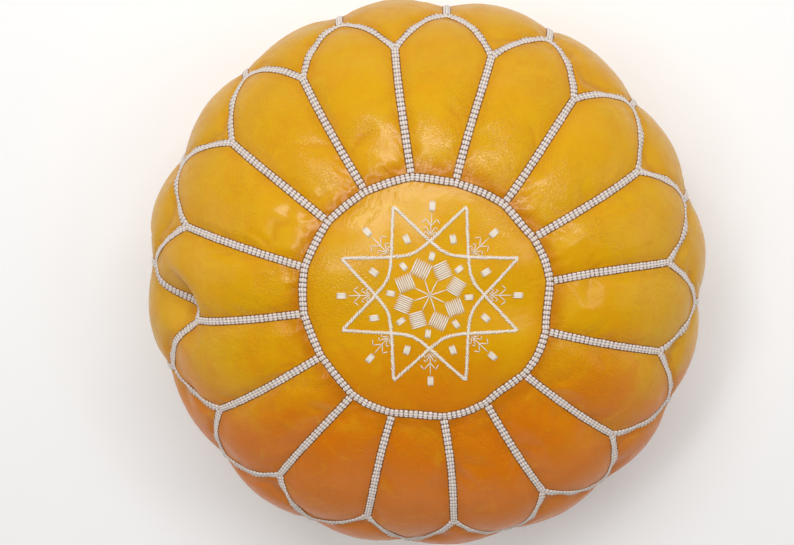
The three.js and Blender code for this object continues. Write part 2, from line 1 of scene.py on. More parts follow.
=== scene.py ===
"""The looks of a Moroccan leather floor pouf, in metres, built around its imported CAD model.

The leather cover is one welded grid with its seams as grid lines. It is inflated by a cloth simulation,
subdivided, and then parted at the seams into the panels of the CAD model. The seam stitches, the embroidery,
the base with its zip, and the liner and stuffing follow.
"""

import math

import bpy
import numpy as np
from mathutils import Matrix, Vector
from mathutils.bvhtree import BVHTree
from mathutils.kdtree import KDTree


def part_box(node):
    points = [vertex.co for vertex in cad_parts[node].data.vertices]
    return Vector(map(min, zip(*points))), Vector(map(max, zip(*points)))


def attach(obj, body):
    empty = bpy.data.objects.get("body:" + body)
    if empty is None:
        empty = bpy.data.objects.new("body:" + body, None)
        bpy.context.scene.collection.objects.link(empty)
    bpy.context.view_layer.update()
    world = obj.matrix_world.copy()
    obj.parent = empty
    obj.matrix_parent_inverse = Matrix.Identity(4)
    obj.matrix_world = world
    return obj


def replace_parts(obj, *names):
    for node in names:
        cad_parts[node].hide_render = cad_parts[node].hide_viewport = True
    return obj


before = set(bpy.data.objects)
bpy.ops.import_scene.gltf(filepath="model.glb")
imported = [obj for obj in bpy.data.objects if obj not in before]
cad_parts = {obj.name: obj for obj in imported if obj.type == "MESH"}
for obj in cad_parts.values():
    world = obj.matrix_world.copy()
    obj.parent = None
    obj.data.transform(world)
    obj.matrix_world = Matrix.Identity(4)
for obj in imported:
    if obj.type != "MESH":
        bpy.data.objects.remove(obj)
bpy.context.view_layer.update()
MM = 0.001
BODY = "pouf"

# ---- driving dimensions ----
PETALS = 16
SECTOR = math.tau / PETALS
FIRST_SEAM = math.radians(7.3)
RING_RADIUS = 109.5 * MM
NOTCH_RADIUS = 228 * MM
APEX_RADIUS = 262.5 * MM
BASE_SEAM_RADIUS = 206 * MM
BASE_FLAT_RADIUS = 188 * MM
CROWN_ROUNDNESS = 2.25
SKIRT_ROUNDNESS = 2.2
SCALLOP_POWER = 1.6
BAND_HALF = 3.5 * MM
BAND_PROUD = 1.2 * MM
LEATHER = 2.2 * MM
MEDALLION_SWELL = 3 * MM


def reach(node):
    """The largest distance of a CAD node from the axis."""
    return max(math.hypot(v.co.x, v.co.y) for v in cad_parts[node].data.vertices)


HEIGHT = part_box("medallion_panel")[1].z - MEDALLION_SWELL
SEAM_RADIUS = reach("side_seam_stitching") - BAND_PROUD


def linked(name, data):
    """A new object in the scene."""
    made = bpy.data.objects.new(name, data)
    bpy.context.scene.collection.objects.link(made)
    return made


def smoothstep(value, low, high):
    """0 up to low, 1 from high on, and smooth between them."""
    share = np.clip((value - low) / (high - low), 0, 1)
    return share * share * (3 - 2 * share)


# ---- the body surface, in angle theta and arc length s from the top of the axis ----
OUTLINE_STEPS = 600  # points on the formula of each of the upper and the lower outline
OUTLINE_PLACES = 1500  # evenly spaced places of the table


def outline_table():
    """Arc length, radius, height and outward normal along the body's outline."""
    turn = np.linspace(0, math.pi / 2, OUTLINE_STEPS)
    half = HEIGHT / 2
    skirt = SEAM_RADIUS - BASE_FLAT_RADIUS
    upper_r = SEAM_RADIUS * np.sin(turn) ** (2 / CROWN_ROUNDNESS)
    upper_z = half + half * np.cos(turn) ** (2 / CROWN_ROUNDNESS)
    lower_r = BASE_FLAT_RADIUS + skirt * np.cos(turn) ** (2 / SKIRT_ROUNDNESS)
    lower_z = half - half * np.sin(turn) ** (2 / SKIRT_ROUNDNESS)
    r = np.concatenate([upper_r, lower_r[1:], [0]])
    z = np.concatenate([upper_z, lower_z[1:], [0]])
    arc = np.concatenate([[0], np.cumsum(np.hypot(np.diff(r), np.diff(z)))])
    even = np.linspace(0, arc[-1], OUTLINE_PLACES)
    r, z = np.interp(even, arc, r), np.interp(even, arc, z)
    dr, dz = np.gradient(r), np.gradient(z)
    length = np.hypot(dr, dz)
    return even, r, z, -dz / length, dr / length, arc[OUTLINE_STEPS - 1]


ARC, OUT_R, OUT_Z, NORMAL_R, NORMAL_Z, S_WIDEST = outline_table()  # S_WIDEST: arc length where it is widest


def arc_at(radius, upper=True):
    """The arc length at which the upper or the lower outline has a radius."""
    part = ARC <= S_WIDEST if upper else ARC >= S_WIDEST
    order = np.argsort(OUT_R[part])
    return float(np.interp(radius, OUT_R[part][order], ARC[part][order]))


S_RING = arc_at(RING_RADIUS)
S_NOTCH = arc_at(NOTCH_RADIUS)
S_APEX = arc_at(APEX_RADIUS)
S_BASE = arc_at(BASE_SEAM_RADIUS, upper=False)


def on_body(theta, s, raised):
    """A point of the even body surface, or raised above it."""
    r = np.interp(s, ARC, OUT_R) + raised * np.interp(s, ARC, NORMAL_R)
    z = np.interp(s, ARC, OUT_Z) + raised * np.interp(s, ARC, NORMAL_Z)
    return np.stack([r * np.cos(theta), r * np.sin(theta), z], -1)


def body_normal(theta, s):
    """The direction straight out of the even body surface."""
    nr, nz = np.interp(s, ARC, NORMAL_R), np.interp(s, ARC, NORMAL_Z)
    return np.stack([nr * np.cos(theta), nr * np.sin(theta), nz], -1)


def scallop_arc(theta):
    """The arc length of the petals' scalloped edge at an angle."""
    share = ((theta - FIRST_SEAM) / SECTOR) % 1
    outward = 1 - np.abs(2 * share - 1) ** SCALLOP_POWER
    upper = ARC <= S_WIDEST
    return np.interp(NOTCH_RADIUS + (APEX_RADIUS - NOTCH_RADIUS) * outward, OUT_R[upper], ARC[upper])


def waves(seed, theta, s, turns, wavelength, count=14):
    """Smooth seeded unevenness of about unit size: up to so many turns round, and a wavelength down."""
    rng = np.random.default_rng(seed)
    total = 0
    for _ in range(count):
        m = rng.integers(0, turns + 1)
        k = rng.uniform(-1, 1) * math.tau / wavelength
        total = total + np.cos(m * theta + k * s + rng.uniform(0, math.tau))
    return total / math.sqrt(count / 2)


# ---- the hand-made unevenness of the cover ----
SEAM_SINK = 2.2 * MM  # how far the thread pulls a seam in
SEAM_DRIFT = 1.3 * MM  # how far the seams wander sideways
DRIFT_TURNS, DRIFT_WAVELENGTH = 9, 200 * MM
LUMPS = 1.5 * MM  # unevenness of the stuffing
LUMP_TURNS, LUMP_WAVELENGTH = 7, 220 * MM
EVEN_ABOVE_BASE = 60 * MM  # over this length the unevenness fades out towards the base seam
OVAL = 1.2 * MM  # how much wider than long the pouf has been sat
RING_PULL = 1.5 * MM  # how far each petal seam draws the medallion's seam out
RING_PULL_ROUND = 7 * MM  # how far the pull reaches along the medallion's seam
RING_PULL_OUT = 9 * MM  # and away from it
# A hollow is an angle in degrees, the arc length that it is measured from, and in millimetres how far below
# that it lies, its half sizes round and down, its depth, and its pull on the seams. One with a negative depth
# is a bulge, and one without depth only moves the seams.
HOLLOWS = [
    (183, S_NOTCH, 20, 18, 22, 19, 20),
    (188, S_NOTCH, -4, 26, 30, 2, 5),
    (152, S_APEX, 36, 34, 30, 5, 0),
    (118, S_APEX, 30, 34, 26, 4, 0),
    (50, S_APEX, 34, 30, 24, 3, 0),
    (-125, S_APEX, 70, 36, 30, 4, 0),
    (194, S_APEX, 26, 42, 36, -6, 0),
    (-24, S_APEX, 24, 70, 60, -3.5, 0),
    (238, S_APEX, 20, 60, 50, -2.5, 0),
    (38, S_NOTCH, 0, 70, 50, 0, 6),
    (302, S_NOTCH, 0, 50, 50, 0, 9),
    (252, S_NOTCH, 0, 70, 50, 0, -4),
    (158, S_NOTCH, 0, 40, 50, 0, -5),
]


def hollow_at(theta, s):
    """How deep the hollows are at a place, and how far they pull it towards the top."""
    depth, pulled = 0, 0
    radius = np.maximum(np.interp(s, ARC, OUT_R), RING_RADIUS / 2)
    for degrees, start, *millimetres in HOLLOWS:
        below, half_round, half_down, deep, pull = (length * MM for length in millimetres)
        turn = np.angle(np.exp(1j * (theta - math.radians(degrees)))) * radius
        share = np.exp(-((turn / half_round) ** 2) - ((s - start - below) / half_down) ** 2)
        depth = depth + deep * share
        pulled = pulled + pull * share
    return depth, pulled


def on_cover(theta, s, raised):
    """A point of the uneven cover: drifted along the body, raised by the lumps and lowered by the hollows."""
    radius = np.maximum(np.interp(s, ARC, OUT_R), RING_RADIUS / 2)
    fade = np.clip(s / S_RING, 0, 1) * np.clip((S_BASE - s) / EVEN_ABOVE_BASE, 0, 1)
    round_drift = SEAM_DRIFT * waves(1, theta, s, DRIFT_TURNS, DRIFT_WAVELENGTH) * fade
    down_drift = SEAM_DRIFT * waves(2, theta, s, DRIFT_TURNS, DRIFT_WAVELENGTH) * fade
    lumps = LUMPS * waves(3, theta, s, LUMP_TURNS, LUMP_WAVELENGTH) + OVAL * np.cos(2 * theta)
    lumps = lumps * fade
    depth, pulled = hollow_at(theta, s)
    from_petal_seam = np.abs((theta - FIRST_SEAM + SECTOR / 2) % SECTOR - SECTOR / 2) * RING_RADIUS
    drawn = RING_PULL * np.exp(-from_petal_seam / RING_PULL_ROUND - ((s - S_RING) / RING_PULL_OUT) ** 2)
    return on_body(theta + round_drift / radius, s + down_drift - pulled + drawn, raised + lumps - depth)


# ---- the cover's grid ----
PANEL_COLUMNS = 20
COLUMNS = PETALS * PANEL_COLUMNS
PETAL_ROWS = 24
SIDE_ROWS = 40
ROWS = PETAL_ROWS + SIDE_ROWS
# The share by which the leather is larger than its place. The medallion's has no slack.
PETAL_SLACK = 0.008
SIDE_SLACK = 0.018
PANEL_SWELL = 4 * MM
PUCKER = 0.55 * MM
PUCKER_REACH = 11 * MM
PUCKER_START = 3 * MM  # the puckers begin this far from a seam
SIDE_PLEAT = 13 * MM  # the spacing of the puckers along the side seams of a panel
END_PLEAT = 15 * MM  # and along the seams at its ends
RIM_PUCKER = 0.35  # the medallion's puckers against those of the panels


def bunched(count):
    """Shares from 0 to 1 that lie closer together near both ends."""
    v = np.arange(1, count + 1) / count
    return v - 0.55 * np.sin(math.tau * v) / math.tau


def swell_shape(u, v):
    """The pillow of a panel: 0 on its seams and 1 in its middle."""
    return (np.sin(math.pi * np.clip(u, 0, 1)) * np.sin(math.pi * np.clip(v, 0, 1))) ** 0.62


def puckers(seed, theta, s, from_side, from_end):
    """Small pleats that run off the seams, from the distances to the side seams and to the end seams."""
    def near(distance):
        return np.exp(-distance / PUCKER_REACH) * (1 - np.exp(-distance / PUCKER_START))

    turned = theta * np.interp(s, ARC, OUT_R)
    along_side = np.sin(math.tau * s / SIDE_PLEAT + 2.5 * waves(seed, theta, s, 24, 0.05))
    along_end = np.sin(math.tau * turned / END_PLEAT + 2.5 * waves(seed + 1, theta, s, 24, 0.05))
    strength = PUCKER * (1.2 + 0.8 * waves(seed + 2, theta, s, 12, 0.1))
    return strength * (near(from_side) * along_side + near(from_end) * along_end)


MEDALLION_HALF = COLUMNS // 8  # cells from the medallion's middle to its seam
MEDALLION_SIDE = 2 * MEDALLION_HALF + 1


def medallion_rows():
    """The medallion as a square grid drawn out to a disc; its border has one point for each column."""
    cells = (np.arange(MEDALLION_SIDE) - MEDALLION_HALF) / MEDALLION_HALF
    a, b = (grid.ravel() for grid in np.meshgrid(cells, cells, indexing="ij"))
    out = np.maximum(np.abs(a), np.abs(b))
    wide = np.abs(a) >= np.abs(b)
    across = np.where(wide, b / np.where(a == 0, 1, a), -a / np.where(b == 0, 1, b))
    quarter = np.where(wide, np.where(a >= 0, 0, 2), np.where(b >= 0, 1, 3))
    theta = FIRST_SEAM + math.pi / 4 * across + math.pi / 2 * quarter
    s = S_RING * out
    dome = (MEDALLION_SWELL + SEAM_SINK) * np.cos(math.pi / 2 * out) ** 0.7 - SEAM_SINK
    rim = puckers(20, theta, s, np.full(len(s), 1.0), S_RING - s)
    return theta, s, dome + RIM_PUCKER * rim


def panel_rows():
    """Angle, arc length, raised height and slack of each row of petals and side panels, from the ring out."""
    column = np.arange(COLUMNS)
    theta = FIRST_SEAM + column * SECTOR / PANEL_COLUMNS
    edge = scallop_arc(theta)

    def rows_between(inner, outer, count, first_column, seed, slack):
        share = ((column + first_column) % PANEL_COLUMNS) / PANEL_COLUMNS
        for v in bunched(count):
            s = inner + (outer - inner) * v
            width = np.interp(s, ARC, OUT_R) * SECTOR
            pillow = (PANEL_SWELL + SEAM_SINK) * swell_shape(share, v) - SEAM_SINK
            from_side = width * np.minimum(share, 1 - share)
            from_end = np.minimum(s - inner, outer - s)
            yield theta, s, pillow + puckers(seed, theta, s, from_side, from_end), slack

    petals = rows_between(S_RING, edge, PETAL_ROWS, 0, 30, PETAL_SLACK)
    sides = rows_between(edge, S_BASE, SIDE_ROWS, PANEL_COLUMNS // 2, 40, SIDE_SLACK)
    return [*petals, *sides]


def vertex_at(row, column):
    """The grid's vertex number; row 0 is the medallion's border, and the rows of the panels follow."""
    column = column % COLUMNS
    if row > 0:
        return MEDALLION_SIDE**2 + (row - 1) * COLUMNS + column
    last = MEDALLION_SIDE - 1
    side, step = divmod((column + MEDALLION_HALF) % COLUMNS, last)
    i, j = ((last, step), (last - step, last), (0, last - step), (step, 0))[side]
    return i * MEDALLION_SIDE + j


def panel_of(row, column):
    """The panel of the grid cell outside a row: 0 is the medallion, then petals, then side panels."""
    if row < PETAL_ROWS:
        return 1 + column // PANEL_COLUMNS
    return 1 + PETALS + ((column + PANEL_COLUMNS // 2) // PANEL_COLUMNS) % PETALS


def on_seam(row, column):
    """Whether a point of the grid lies on a seam."""
    if row in (0, PETAL_ROWS, ROWS):
        return True
    middle = 0 if row < PETAL_ROWS else PANEL_COLUMNS // 2
    return column % PANEL_COLUMNS == middle


def make_cover():
    """The welded cover with its seams pinned and its slack, ready to inflate."""
    rows = panel_rows()
    points = [on_cover(*medallion_rows())] + [on_cover(theta, s, raised) for theta, s, raised, _ in rows]
    faces = grid_faces(MEDALLION_SIDE, MEDALLION_SIDE, True)
    panels = [0] * len(faces)
    for row in range(ROWS):
        for i in range(COLUMNS):
            corners = ((row, i), (row + 1, i), (row + 1, i + 1), (row, i + 1))
            faces.append(tuple(vertex_at(*corner) for corner in corners))
            panels.append(panel_of(row, i))
    mesh = bpy.data.meshes.new("cover")
    mesh.from_pydata(np.concatenate(points).tolist(), [], faces)
    mesh.polygons.foreach_set("material_index", panels)
    cover = linked("cover", mesh)
    pins = cover.vertex_groups.new(name="seams")
    places = [(row, i) for row in range(ROWS + 1) for i in range(COLUMNS)]
    pins.add([vertex_at(*place) for place in places if on_seam(*place)], 1, "REPLACE")
    firm = cover.vertex_groups.new(name="firm")
    firm.add(list(range(MEDALLION_SIDE**2)), 1, "REPLACE")
    for j, (_, _, _, slack) in enumerate(rows):
        firm.add([vertex_at(j + 1, i) for i in range(COLUMNS)], 1 - slack / SIDE_SLACK, "REPLACE")
    return cover


INFLATE_FRAMES = 16
MAX_SWELL = 9 * MM
FLOOR_GAP = 0.3 * MM  # the cover stays this far above the floor


def gathered(items, key, width, kind=np.float32):
    """What a mesh says of each of its points, edges or faces, as an array with a row for each."""
    flat = np.empty(len(items) * width, kind)
    items.foreach_get(key, flat)
    return flat.reshape(-1, width)


def coordinates(mesh):
    """The places of a mesh's points."""
    return gathered(mesh.vertices, "co", 3).astype(float)


def inflate(cover):
    """Blows the slack panels up between their pinned seams, caps how far they move, and keeps the result."""
    rest = coordinates(cover.data)
    cloth = cover.modifiers.new("inflate", "CLOTH")
    settings = cloth.settings
    settings.quality = 6
    settings.mass = 0.02
    settings.air_damping = 3
    settings.tension_stiffness = 30
    settings.compression_stiffness = 30
    settings.shear_stiffness = 12
    settings.bending_stiffness = 1.5
    settings.use_pressure = True
    settings.uniform_pressure_force = 5
    settings.vertex_group_mass = "seams"
    settings.vertex_group_shrink = "firm"
    settings.shrink_min = -SIDE_SLACK
    settings.shrink_max = 0
    settings.effector_weights.gravity = 0
    cloth.collision_settings.use_collision = False
    cloth.point_cache.frame_start = 1
    cloth.point_cache.frame_end = INFLATE_FRAMES
    scene = bpy.context.scene
    for step in range(1, INFLATE_FRAMES + 1):
        scene.frame_set(step)
    blown = cover.evaluated_get(bpy.context.evaluated_depsgraph_get()).to_mesh()
    moved = coordinates(blown) - rest
    cover.modifiers.remove(cloth)
    scene.frame_set(1)
    length = np.linalg.norm(moved, axis=1, keepdims=True)
    kept = MAX_SWELL * np.tanh(length / MAX_SWELL)
    final = rest + moved * kept / np.maximum(length, 1e-9)
    final[:, 2] = np.maximum(final[:, 2], FLOOR_GAP)
    cover.data.vertices.foreach_set("co", final.astype(np.float32).ravel())


def subdivided(cover):
    """The cover's mesh after one level of subdivision."""
    smooth = cover.modifiers.new("smooth", "SUBSURF")
    smooth.levels = 1
    smooth.render_levels = 1
    smooth.boundary_smooth = "PRESERVE_CORNERS"
    smooth.use_limit_surface = False
    mesh = bpy.data.meshes.new_from_object(cover.evaluated_get(bpy.context.evaluated_depsgraph_get()))
    bpy.data.objects.remove(cover)
    return mesh


# ---- seam lines ----
SEAM_PLACES = 240  # along each seam
SCALLOP_GAP = 0.012  # the share of a petal's width that its scalloped seam keeps from the notches
PAST_NOTCH = 1.5 * MM  # how far a petal seam runs into the notch


def seam_lines():
    """The seams as (angle, arc length) lines, by the network of stitching that they belong to."""
    fine = np.linspace(0, 1, SEAM_PLACES)
    all_round = FIRST_SEAM + math.tau * fine

    def straight(angle, inner, outer):
        return np.full(SEAM_PLACES, angle), inner + (outer - inner) * fine

    lines = {
        "ring": [(all_round, np.full(SEAM_PLACES, S_RING))],
        "petals": [],
        "sides": [(all_round, np.full(SEAM_PLACES, S_BASE))],
    }
    for k in range(PETALS):
        seam = FIRST_SEAM + k * SECTOR
        scallop = seam + SECTOR * (SCALLOP_GAP + (1 - 2 * SCALLOP_GAP) * fine)
        lines["petals"].append(straight(seam, S_RING + BAND_HALF, S_NOTCH + PAST_NOTCH))
        lines["petals"].append((scallop, scallop_arc(scallop)))
        lines["sides"].append(straight(seam + SECTOR / 2, S_APEX + BAND_HALF, S_BASE - BAND_HALF))
    return lines


def at_lengths(lengths, arc, values):
    """The rows of values found at lengths along a line, from the rows at the lengths in arc."""
    return np.stack([np.interp(lengths, arc, column) for column in values.T], -1)


def lengths_along(points):
    """The length along a line of points up to each of them."""
    return np.concatenate([[0], np.cumsum(np.linalg.norm(np.diff(points, axis=0), axis=1))])


def unit(vectors):
    """The vectors, each at length 1."""
    return vectors / np.linalg.norm(vectors, axis=1, keepdims=True)


def seam_frames(line, spacing):
    """Evenly spaced places along a seam: point, direction along it, outward normal and sideways direction."""
    theta, s = line
    dense = on_cover(theta, s, -SEAM_SINK)
    arc = lengths_along(dense)
    count = max(int(round(arc[-1] / spacing)), 1)
    at = (np.arange(count) + 0.5) / count * arc[-1]
    normal = at_lengths(at, arc, body_normal(theta, s))
    ahead, behind = (at_lengths(at + step, arc, dense) for step in (spacing / 2, -spacing / 2))
    along = unit(ahead - behind)
    side = unit(np.cross(normal, along))
    return at_lengths(at, arc, dense), along, np.cross(along, side), side


# ---- mesh helpers ----
def new_object(name, points, faces, finish, values=None):
    """A piece of the pouf from points and faces, with optional named values at its points."""
    mesh = bpy.data.meshes.new(name)
    mesh.from_pydata(points.tolist(), [], faces)
    for key, numbers in (values or {}).items():
        attribute = mesh.attributes.new(key, "FLOAT", "POINT")
        attribute.data.foreach_set("value", np.asarray(numbers, np.float32))
    mesh.polygons.foreach_set("use_smooth", [True] * len(mesh.polygons))
    mesh.materials.append(finish)
    piece = linked(name, mesh)
    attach(piece, BODY)
    return piece


def thicken(piece, thickness, offset=-1):
    """Gives a sheet its thickness: inwards from its face, or to both sides of it with an offset of 0."""
    thick = piece.modifiers.new("thickness", "SOLIDIFY")
    thick.thickness = thickness
    thick.offset = offset


def grid_faces(lines, across, turned_over, start=0, lines_closed=False, across_closed=False):
    """Faces of a grid of lines with so many points across, numbered line by line from a start."""
    faces = []
    for i in range(lines if lines_closed else lines - 1):
        near, far = start + i * across, start + (i + 1) % lines * across
        for k in range(across if across_closed else across - 1):
            beside = (k + 1) % across
            a, b, c, d = near + k, far + k, far + beside, near + beside
            faces.append((a, b, c, d) if turned_over else (a, d, c, b))
    return faces


def tube_faces(stations, sides, start):
    """Faces of a capped tube whose points run station by station from a start number."""
    last = start + (stations - 1) * sides
    caps = [tuple(start + k for k in reversed(range(sides))), tuple(last + k for k in range(sides))]
    return grid_faces(stations, sides, False, start, across_closed=True) + caps


class Ground:
    """The finished leather surfaces, onto which threads are laid."""

    def __init__(self, *meshes):
        """Gathers the triangles of the meshes into one tree."""
        points, triangles = [], []
        for mesh in meshes:
            mesh.calc_loop_triangles()
            start = len(points)
            triangles += [tuple(start + v for v in t.vertices) for t in mesh.loop_triangles]
            points += [v.co.copy() for v in mesh.vertices]
        self.tree = BVHTree.FromPolygons(points, triangles)

    def below(self, point, normal, lift=9 * MM):
        """Where the line through a point along a normal meets the leather."""
        start = Vector(point) + Vector(normal) * lift
        hit = self.tree.ray_cast(start, -Vector(normal), 2.4 * lift)
        return np.array(hit[0]) if hit[0] is not None else np.asarray(point, float)


# ---- materials ----
def srgb(red, green, blue):
    """A colour given as on a screen, 0 to 255, in linear light."""
    def linear(value):
        share = value / 255
        return share / 12.92 if share <= 0.04045 else ((share + 0.055) / 1.055) ** 2.4
    return (linear(red), linear(green), linear(blue), 1)


class Finish:
    """A material under construction, with short names for the nodes that it needs."""

    def __init__(self, name, roughness, metallic=0.0, specular=0.5):
        """Starts a material from the shader's own even values."""
        self.material = bpy.data.materials.new(name)
        self.material.use_nodes = True
        self.tree = self.material.node_tree
        self.shader = self.tree.nodes["Principled BSDF"]
        self.place = self.node("TexCoord", "Object", {})
        self.set("Roughness", roughness)
        self.set("Metallic", metallic)
        self.set("Specular IOR Level", specular)

    def node(self, kind, output, inputs, **settings):
        """An output of a new node with its settings and with what its inputs are fed."""
        made = self.tree.nodes.new("ShaderNode" + kind)
        for key, value in settings.items():
            setattr(made, key, value)
        for key, value in inputs.items():
            self.feed(made.inputs[key], value)
        return made.outputs[output]

    def feed(self, socket, value):
        """Links another node's output to a socket, or sets the socket's number or colour."""
        if hasattr(value, "is_linked"):
            self.tree.links.new(value, socket)
        else:
            socket.default_value = value

    def set(self, name, value):
        """Feeds one of the shader's own sockets."""
        self.feed(self.shader.inputs[name], value)

    def noise(self, scale, detail=3.0, roughness=0.55, distortion=0.0):
        """Cloudy noise, its scale in clouds per metre."""
        shape = {"Scale": scale, "Detail": detail, "Roughness": roughness, "Distortion": distortion}
        return self.node("TexNoise", "Fac", {"Vector": self.place, **shape})

    def warped(self, amount, scale):
        """The place, pushed about by noise, so that a pattern on it isn't regular."""
        noise = self.node("TexNoise", "Color", {"Vector": self.place, "Scale": scale})
        inputs = {0: noise, 1: (amount,) * 3, 2: self.place}
        return self.node("VectorMath", 0, inputs, operation="MULTIPLY_ADD")

    def cells(self, scale, feature="DISTANCE_TO_EDGE", place=None):
        """Irregular cells, so many to the metre: the distance to a cell's edge or, for F1, its middle."""
        inputs = {"Vector": place or self.place, "Scale": scale}
        return self.node("TexVoronoi", "Distance", inputs, feature=feature)

    def ramp(self, value, low, high, start=0.0, end=1.0):
        """A smooth change from start, where the value is low, to end, where it is high."""
        inputs = {"Value": value, "From Min": low, "From Max": high, "To Min": start, "To Max": end}
        return self.node("MapRange", "Result", inputs, clamp=True, interpolation_type="SMOOTHSTEP")

    def mix(self, share, a, b):
        """Colour a with a share of colour b."""
        return self.node("Mix", 2, {0: share, 6: a, 7: b}, data_type="RGBA")

    def math(self, operation, a, b=0.0):
        """A sum or another operation on one or two values."""
        return self.node("Math", 0, {0: a, 1: b}, operation=operation)

    def some(self, share, value):
        """A value scaled down to at most a share of 1."""
        return self.math("MULTIPLY", value, share)

    def value(self, name):
        """The named values at the mesh's points."""
        return self.node("Attribute", "Fac", {}, attribute_name=name)

    def bumps(self, *layers, on="Normal"):
        """Bump layers, each a height, a strength and a distance in metres."""
        inputs = {}
        for height, strength, distance in layers:
            inputs.update({"Height": height, "Strength": strength, "Distance": distance})
            inputs["Normal"] = self.node("Bump", "Normal", inputs)
        self.set(on, inputs["Normal"])


def between(a, b, share):
    """A colour part of the way from one colour to another."""
    return tuple(x + (y - x) * share for x, y in zip(a, b))


WORN_DYE = srgb(216, 174, 22)
SCUFFED_DYE = srgb(220, 176, 34)


def leather_colour(f, bright, warm, deep):
    """Uneven colour, rubbed bright in places, with its mottling and pores, and painted shade: warmer towards
    -Y and higher up, and deeper near the seams, in the hollow ring outside the medallion's seam, in hollows
    and along the folds.
    """
    patches = f.ramp(f.noise(7, 4, 0.6, 0.5), 0.35, 0.68)
    mottle = f.ramp(f.noise(48, 6, 0.68, 0.8), 0.32, 0.7)
    colour = f.mix(f.some(0.35, patches), bright, between(bright, warm, 0.4))
    colour = f.mix(f.some(0.34, mottle), colour, between(bright, warm, 0.6))
    # The warm colour comes in random patches, and as painted shade towards -Y and higher up, from the values
    # at the points.
    uneven = f.math("ADD", f.value("dye_and_painted_shade"), f.some(0.4, f.math("SUBTRACT", patches, 0.5)))
    colour = f.mix(f.ramp(uneven, 0.1, 0.9), colour, warm)
    # The deeper colour near the seams is painted shade; the same mask makes the leather rougher there.
    near_seam = f.ramp(f.value("seam"), 4 * MM, 16 * MM, 1, 0)
    colour = f.mix(f.some(0.22, near_seam), colour, deep)
    # Painted shade in the ring just outside the medallion's seam and in the hollows of the surface.
    colour = f.mix(f.some(0.6, f.value("valley_shade")), colour, deep)
    colour = f.mix(f.some(0.3, f.ramp(f.value("cavity_shade"), 0.05, 0.9)), colour, deep)
    worn = f.ramp(f.noise(26, 6, 0.72, 1.2), 0.54, 0.7)
    colour = f.mix(f.some(0.24, worn), colour, WORN_DYE)
    scuffs = f.ramp(f.noise(150, 6, 0.7, 1.5), 0.58, 0.72)
    colour = f.mix(f.some(0.2, scuffs), colour, SCUFFED_DYE)
    ridge = f.math("ABSOLUTE", f.math("SUBTRACT", f.noise(34, 5, 0.62, 1.6), 0.5))
    folds = f.math("MULTIPLY", f.ramp(ridge, 0, 0.03, 1, 0), f.ramp(f.noise(12, 3, 0.5), 0.45, 0.6))
    # Painted shade along the folds; the same folds are bumps as well.
    colour = f.mix(f.some(0.08, folds), colour, deep)
    pores = f.ramp(f.cells(900, "F1"), 0.1, 0.3, 1, 0)
    return f.mix(f.some(0.12, pores), colour, deep), mottle, near_seam, folds


def leather_finish(name, bright, warm, deep, gloss):
    """Waxed goat leather: uneven colour with painted shade at the seams, in hollows and towards -Y, pebbled
    grain, fine creases and a soft gloss.
    """
    f = Finish(name, 0.4, specular=0.16)
    f.set("Specular Tint", (1, 0.74, 0.22, 1))
    colour, mottle, near_seam, folds = leather_colour(f, bright, warm, deep)
    f.set("Base Color", colour)
    rough = f.math("ADD", gloss, f.some(0.14, mottle))
    f.set("Roughness", f.math("ADD", rough, f.some(0.12, near_seam)))
    f.set("Coat Weight", 0.36)
    f.set("Coat Roughness", 0.19)
    unevenness = f.noise(22, 4, 0.55)
    cracks = f.ramp(f.cells(270, place=f.warped(12 * MM, 60)), 0, 0.16)
    smooth_places = f.ramp(f.noise(17, 3, 0.5, 0.6), 0.42, 0.58)
    crackle = f.math("MAXIMUM", cracks, smooth_places)
    f.bumps(
        (unevenness, 0.34, 4.5 * MM),
        (folds, 0.3, -0.6 * MM),
        (f.noise(75, 4, 0.6, 1.5), 0.3, 1.2 * MM),
        (crackle, 0.5, 0.6 * MM),
        (f.noise(330, 4, 0.6, 0.3), 0.32, 0.5 * MM),
        (f.ramp(f.cells(620), 0, 0.25), 0.25, 0.3 * MM),
    )
    f.bumps((unevenness, 0.2, 3 * MM), (folds, 0.15, -0.5 * MM), (crackle, 0.2, 0.3 * MM), on="Coat Normal")
    return f.material


def thread_finish(name, light, shaded):
    """Thick cotton thread: fibres, a tone of its own for each stitch, and painted shade where it is drawn in
    and towards its ends.
    """
    f = Finish(name, 0.82, specular=0.25)
    # Painted shade, grey in the grooves where a stitch is pinched and where a thread goes into the leather.
    colour = f.mix(f.value("shade"), light, shaded)
    colour = f.mix(f.some(0.35, f.value("tone")), colour, srgb(206, 190, 168))
    fuzz = f.ramp(f.noise(700, 4, 0.7), 0.35, 0.7)
    colour = f.mix(f.some(0.12, fuzz), colour, srgb(172, 160, 158))
    f.set("Base Color", colour)
    f.set("Sheen Weight", 0.25)
    f.set("Sheen Roughness", 0.5)
    f.bumps((f.noise(1400, 3, 0.7), 0.35, 0.3 * MM), (f.noise(420, 2, 0.5), 0.3, 0.5 * MM))
    return f.material


def edge_shadow_finish():
    """The brown strip beside and between the stitches: the leather's raw edge and a painted shadow."""
    f = Finish("seam_edge_shadow", 0.7, specular=0.2)
    f.set("Base Color", f.mix(f.ramp(f.noise(160, 3), 0.3, 0.7), srgb(116, 72, 30), srgb(140, 88, 30)))
    f.bumps((f.noise(500, 3), 0.3, 0.4 * MM))
    return f.material


def cotton_finish(name, light, dark, weave):
    """Plain woven cotton."""
    f = Finish(name, 0.92, specular=0.2)
    f.set("Base Color", f.mix(f.ramp(f.noise(30, 4), 0.3, 0.7), light, dark))
    f.set("Sheen Weight", 0.3)
    f.bumps((f.ramp(f.cells(weave, "F1"), 0, 0.6), 0.4, 0.5 * MM), (f.noise(60, 3), 0.3, 2 * MM))
    return f.material


